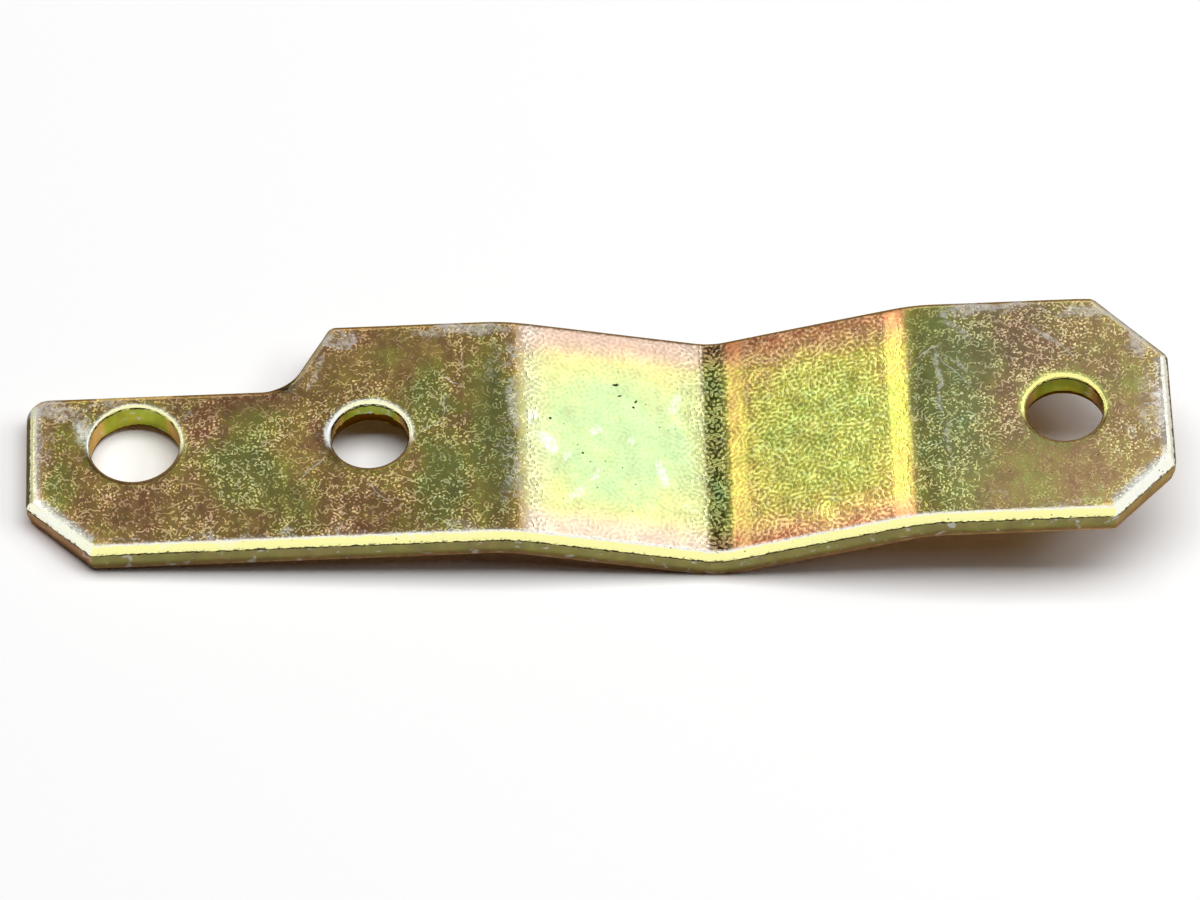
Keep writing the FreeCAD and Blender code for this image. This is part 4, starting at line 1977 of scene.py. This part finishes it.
@dataclass(frozen=True)
class Studio:
    """The table, the lights over it and the camera, with lengths in metres.

    Attributes:
        panels: The panels, which light the table and don't show in the metal.
        scrim_height: Height of the scrim over the table.
        scrim_x: Its span from left to right.
        scrim_y: Its span from front to back.
        scrim_fade: Width of its soft front and back borders.
        scrim_strength: Factor on its glow.
        scrim_glow: Places from left to right, each with the scrim's glow there.
        floor_size: Side of the square floor.
        floor_colour: Grey of the floor as it lights the bracket.
        floor_shown_colour: Grey of the floor as it is seen or mirrored.
        world_fill: Strength of the world's light.
        world_shown: Strength of the world where it is seen or mirrored.
        camera_distance: Distance of the camera from its target.
        camera_lens: Its focal length, in millimetres.
        camera_clip: Nearest and farthest distance that it shows.
        camera_target: Point that it looks at.
        camera_azimuth: Its angle from the front towards the right, in degrees.
        camera_elevation: Its angle over the table, in degrees.
        camera_roll: Its turn about its own line of sight, in degrees.
    """

    panels: tuple[Panel, ...] = (
        Panel("key_panel", (-0.85, 1.0), (-0.3, 0.5), 1.6, 5.68),
        Panel("right_fill", (1.0, 1.8), (-0.6, 0.6), 1.3, 4.2),
    )
    scrim_height: float = 1.2
    scrim_x: tuple[float, float] = (-2.2, 1.8)
    scrim_y: tuple[float, float] = (0.5, 1.35)
    scrim_fade: float = 0.08
    scrim_strength: float = 1.5
    scrim_glow: tuple[tuple[float, float], ...] = (
        (-2.2, 0.2),
        (-1.0, 0.45),
        (-0.76, 0.62),
        (-0.74, 1.02),
        (-0.54, 1.02),
        (-0.52, 0.55),
        (-0.38, 0.34),
        (-0.28, 0.23),
        (0.0, 0.22),
        (0.1, 0.28),
        (0.29, 0.28),
        (0.35, 0.92),
        (0.5, 0.98),
        (1.6, 0.98),
        (1.8, 0.7),
    )
    floor_size: float = 12.0
    floor_colour: float = 0.6
    floor_shown_colour: float = 1.0
    world_fill: float = 0.003
    world_shown: float = 1.0
    camera_distance: float = 1.0
    camera_lens: float = 261.0
    camera_clip: tuple[float, float] = (0.1, 50.0)
    camera_target: tuple[float, float, float] = (-0.000454, -0.007702, 0.014269)
    camera_azimuth: float = -5.729
    camera_elevation: float = 54.301
    camera_roll: float = 5.003

    def hang(self, panel: Panel) -> None:
        """Hangs one light panel.

        Args:
            panel: The panel.
        """
        width = panel.x[1] - panel.x[0]
        depth = panel.y[1] - panel.y[0]
        light = bpy.data.lights.new(panel.name, "AREA")
        light.shape = "RECTANGLE"
        light.size = width
        light.size_y = depth
        light.energy = panel.glow * math.pi * width * depth
        lamp = bpy.data.objects.new(panel.name, light)
        lamp.location = (sum(panel.x) / 2, sum(panel.y) / 2, panel.height)
        lamp.visible_camera = False
        lamp.visible_glossy = False
        bpy.context.scene.collection.objects.link(lamp)

    def lay_floor(self) -> bpy.types.Object:
        """Lays the pale table that the bracket lies on.

        Returns:
            The floor.
        """
        mesh = bpy.data.meshes.new("floor")
        bm = bmesh.new()
        bmesh.ops.create_grid(bm, x_segments=1, y_segments=1, size=self.floor_size / 2)
        bm.to_mesh(mesh)
        bm.free()
        floor = bpy.data.objects.new("floor", mesh)
        bpy.context.scene.collection.objects.link(floor)
        material = bpy.data.materials.new("white_table")
        material.use_nodes = True
        recipe = Recipe(material.node_tree)
        dark, shown = (self.floor_colour,) * 3, (self.floor_shown_colour,) * 3
        recipe.feed(material.node_tree.nodes["Principled BSDF"], {
            "Roughness": 1.0,
            "Specular IOR Level": 0.0,
            "Base Color": recipe.mix(self.seen_directly(recipe), dark, shown),
        })
        mesh.materials.append(material)
        return floor

    def seen_directly(self, recipe: Recipe) -> Socket:
        """Adds nodes that tell the rays which show a background from those that light by it.

        Args:
            recipe: Recipe of the floor or the world.

        Returns:
            A socket that is 1 for camera, glossy and transmission rays.
        """
        path = recipe.add("LightPath").outputs
        seen = path["Is Camera Ray"]
        for name in ("Is Glossy Ray", "Is Transmission Ray"):
            seen = recipe.math("MAXIMUM", seen, path[name])
        return seen

    def hang_scrim(self) -> bpy.types.Object:
        """Hangs the graded scrim that the metal mirrors, and that nothing else sees.

        Returns:
            The scrim.
        """
        mesh = bpy.data.meshes.new("scrim")
        bm = bmesh.new()
        bmesh.ops.create_grid(bm, x_segments=1, y_segments=1, size=0.5)
        (left, right), (front, back) = self.scrim_x, self.scrim_y
        bmesh.ops.scale(bm, verts=list(bm.verts), vec=(right - left, back - front, 1.0))
        middle = ((left + right) / 2, (front + back) / 2, self.scrim_height)
        bmesh.ops.translate(bm, verts=list(bm.verts), vec=middle)
        bm.to_mesh(mesh)
        bm.free()
        scrim = bpy.data.objects.new("scrim", mesh)
        scrim.visible_camera = False
        scrim.visible_diffuse = False
        scrim.visible_shadow = False
        bpy.context.scene.collection.objects.link(scrim)
        material = bpy.data.materials.new("scrim")
        material.use_nodes = True
        material.cycles.emission_sampling = "NONE"
        recipe = Recipe(material.node_tree)
        place = recipe.add("SeparateXYZ", {0: recipe.add("TexCoord").outputs["Object"]}).outputs
        inputs = {"Value": place["X"], "From Min": left, "From Max": right}
        share = recipe.add("MapRange", inputs).outputs["Result"]
        stops = [((x - left) / (right - left), (glow, glow, glow)) for x, glow in self.scrim_glow]
        graded = recipe.times(recipe.ramp(share, stops), self.scrim_strength)
        inside = recipe.times(
            recipe.step(place["Y"], front, front + self.scrim_fade),
            recipe.step(place["Y"], back, back - self.scrim_fade),
        )
        inputs = {"Value": inside, "To Min": 1.0, "To Max": graded}
        recipe.feed(material.node_tree.nodes["Principled BSDF"], {
            "Base Color": (0.0, 0.0, 0.0, 1.0),
            "Specular IOR Level": 0.0,
            "Emission Color": (1.0, 1.0, 1.0, 1.0),
            "Emission Strength": recipe.add("MapRange", inputs).outputs["Result"],
        })
        mesh.materials.append(material)
        return scrim

    def light_world(self) -> None:
        """Fills the room with soft light, white where it is seen or mirrored."""
        world = bpy.data.worlds.new("studio")
        world.use_nodes = True
        recipe = Recipe(world.node_tree)
        seen = self.seen_directly(recipe)
        inputs = {"Value": seen, "To Min": self.world_fill, "To Max": self.world_shown}
        recipe.feed(world.node_tree.nodes["Background"], {
            "Color": (1.0, 1.0, 1.0, 1.0),
            "Strength": recipe.add("MapRange", inputs).outputs["Result"],
        })
        bpy.context.scene.world = world

    def place_camera(self) -> bpy.types.Object:
        """Stands the camera where the photograph was taken from.

        Returns:
            The camera.
        """
        azimuth = math.radians(self.camera_azimuth)
        elevation = math.radians(self.camera_elevation)
        back = Vector((
            math.sin(azimuth) * math.cos(elevation),
            -math.cos(azimuth) * math.cos(elevation),
            math.sin(elevation),
        ))
        camera = bpy.data.objects.new("camera", bpy.data.cameras.new("camera"))
        camera.data.lens = self.camera_lens
        camera.data.clip_start, camera.data.clip_end = self.camera_clip
        turn = (-back).to_track_quat("-Z", "Y").to_matrix().to_4x4()
        roll = Matrix.Rotation(math.radians(self.camera_roll), 4, "Z")
        place = Matrix.Translation(Vector(self.camera_target) + back * self.camera_distance)
        camera.matrix_world = place @ turn @ roll
        bpy.context.scene.collection.objects.link(camera)
        bpy.context.scene.camera = camera
        return camera

    def set_up(self) -> None:
        """Sets up the whole studio."""
        bpy.context.scene.view_settings.view_transform = "Standard"
        self.lay_floor()
        self.hang_scrim()
        for panel in self.panels:
            self.hang(panel)
        self.light_world()
        self.place_camera()


def main() -> None:
    """Builds the bracket, gives it its finish and sets up the studio round it."""
    logging.basicConfig(level=logging.INFO, format="%(message)s")
    strip = BracketStrip()
    piece = strip.build()
    piece.data.materials.append(YellowZinc().build())
    strip.fit(piece)
    mesh = piece.data
    log.info("%s: %d points, %d faces", piece.name, len(mesh.vertices), len(mesh.polygons))
    Studio().set_up()


if __name__ == "__main__":
    main()
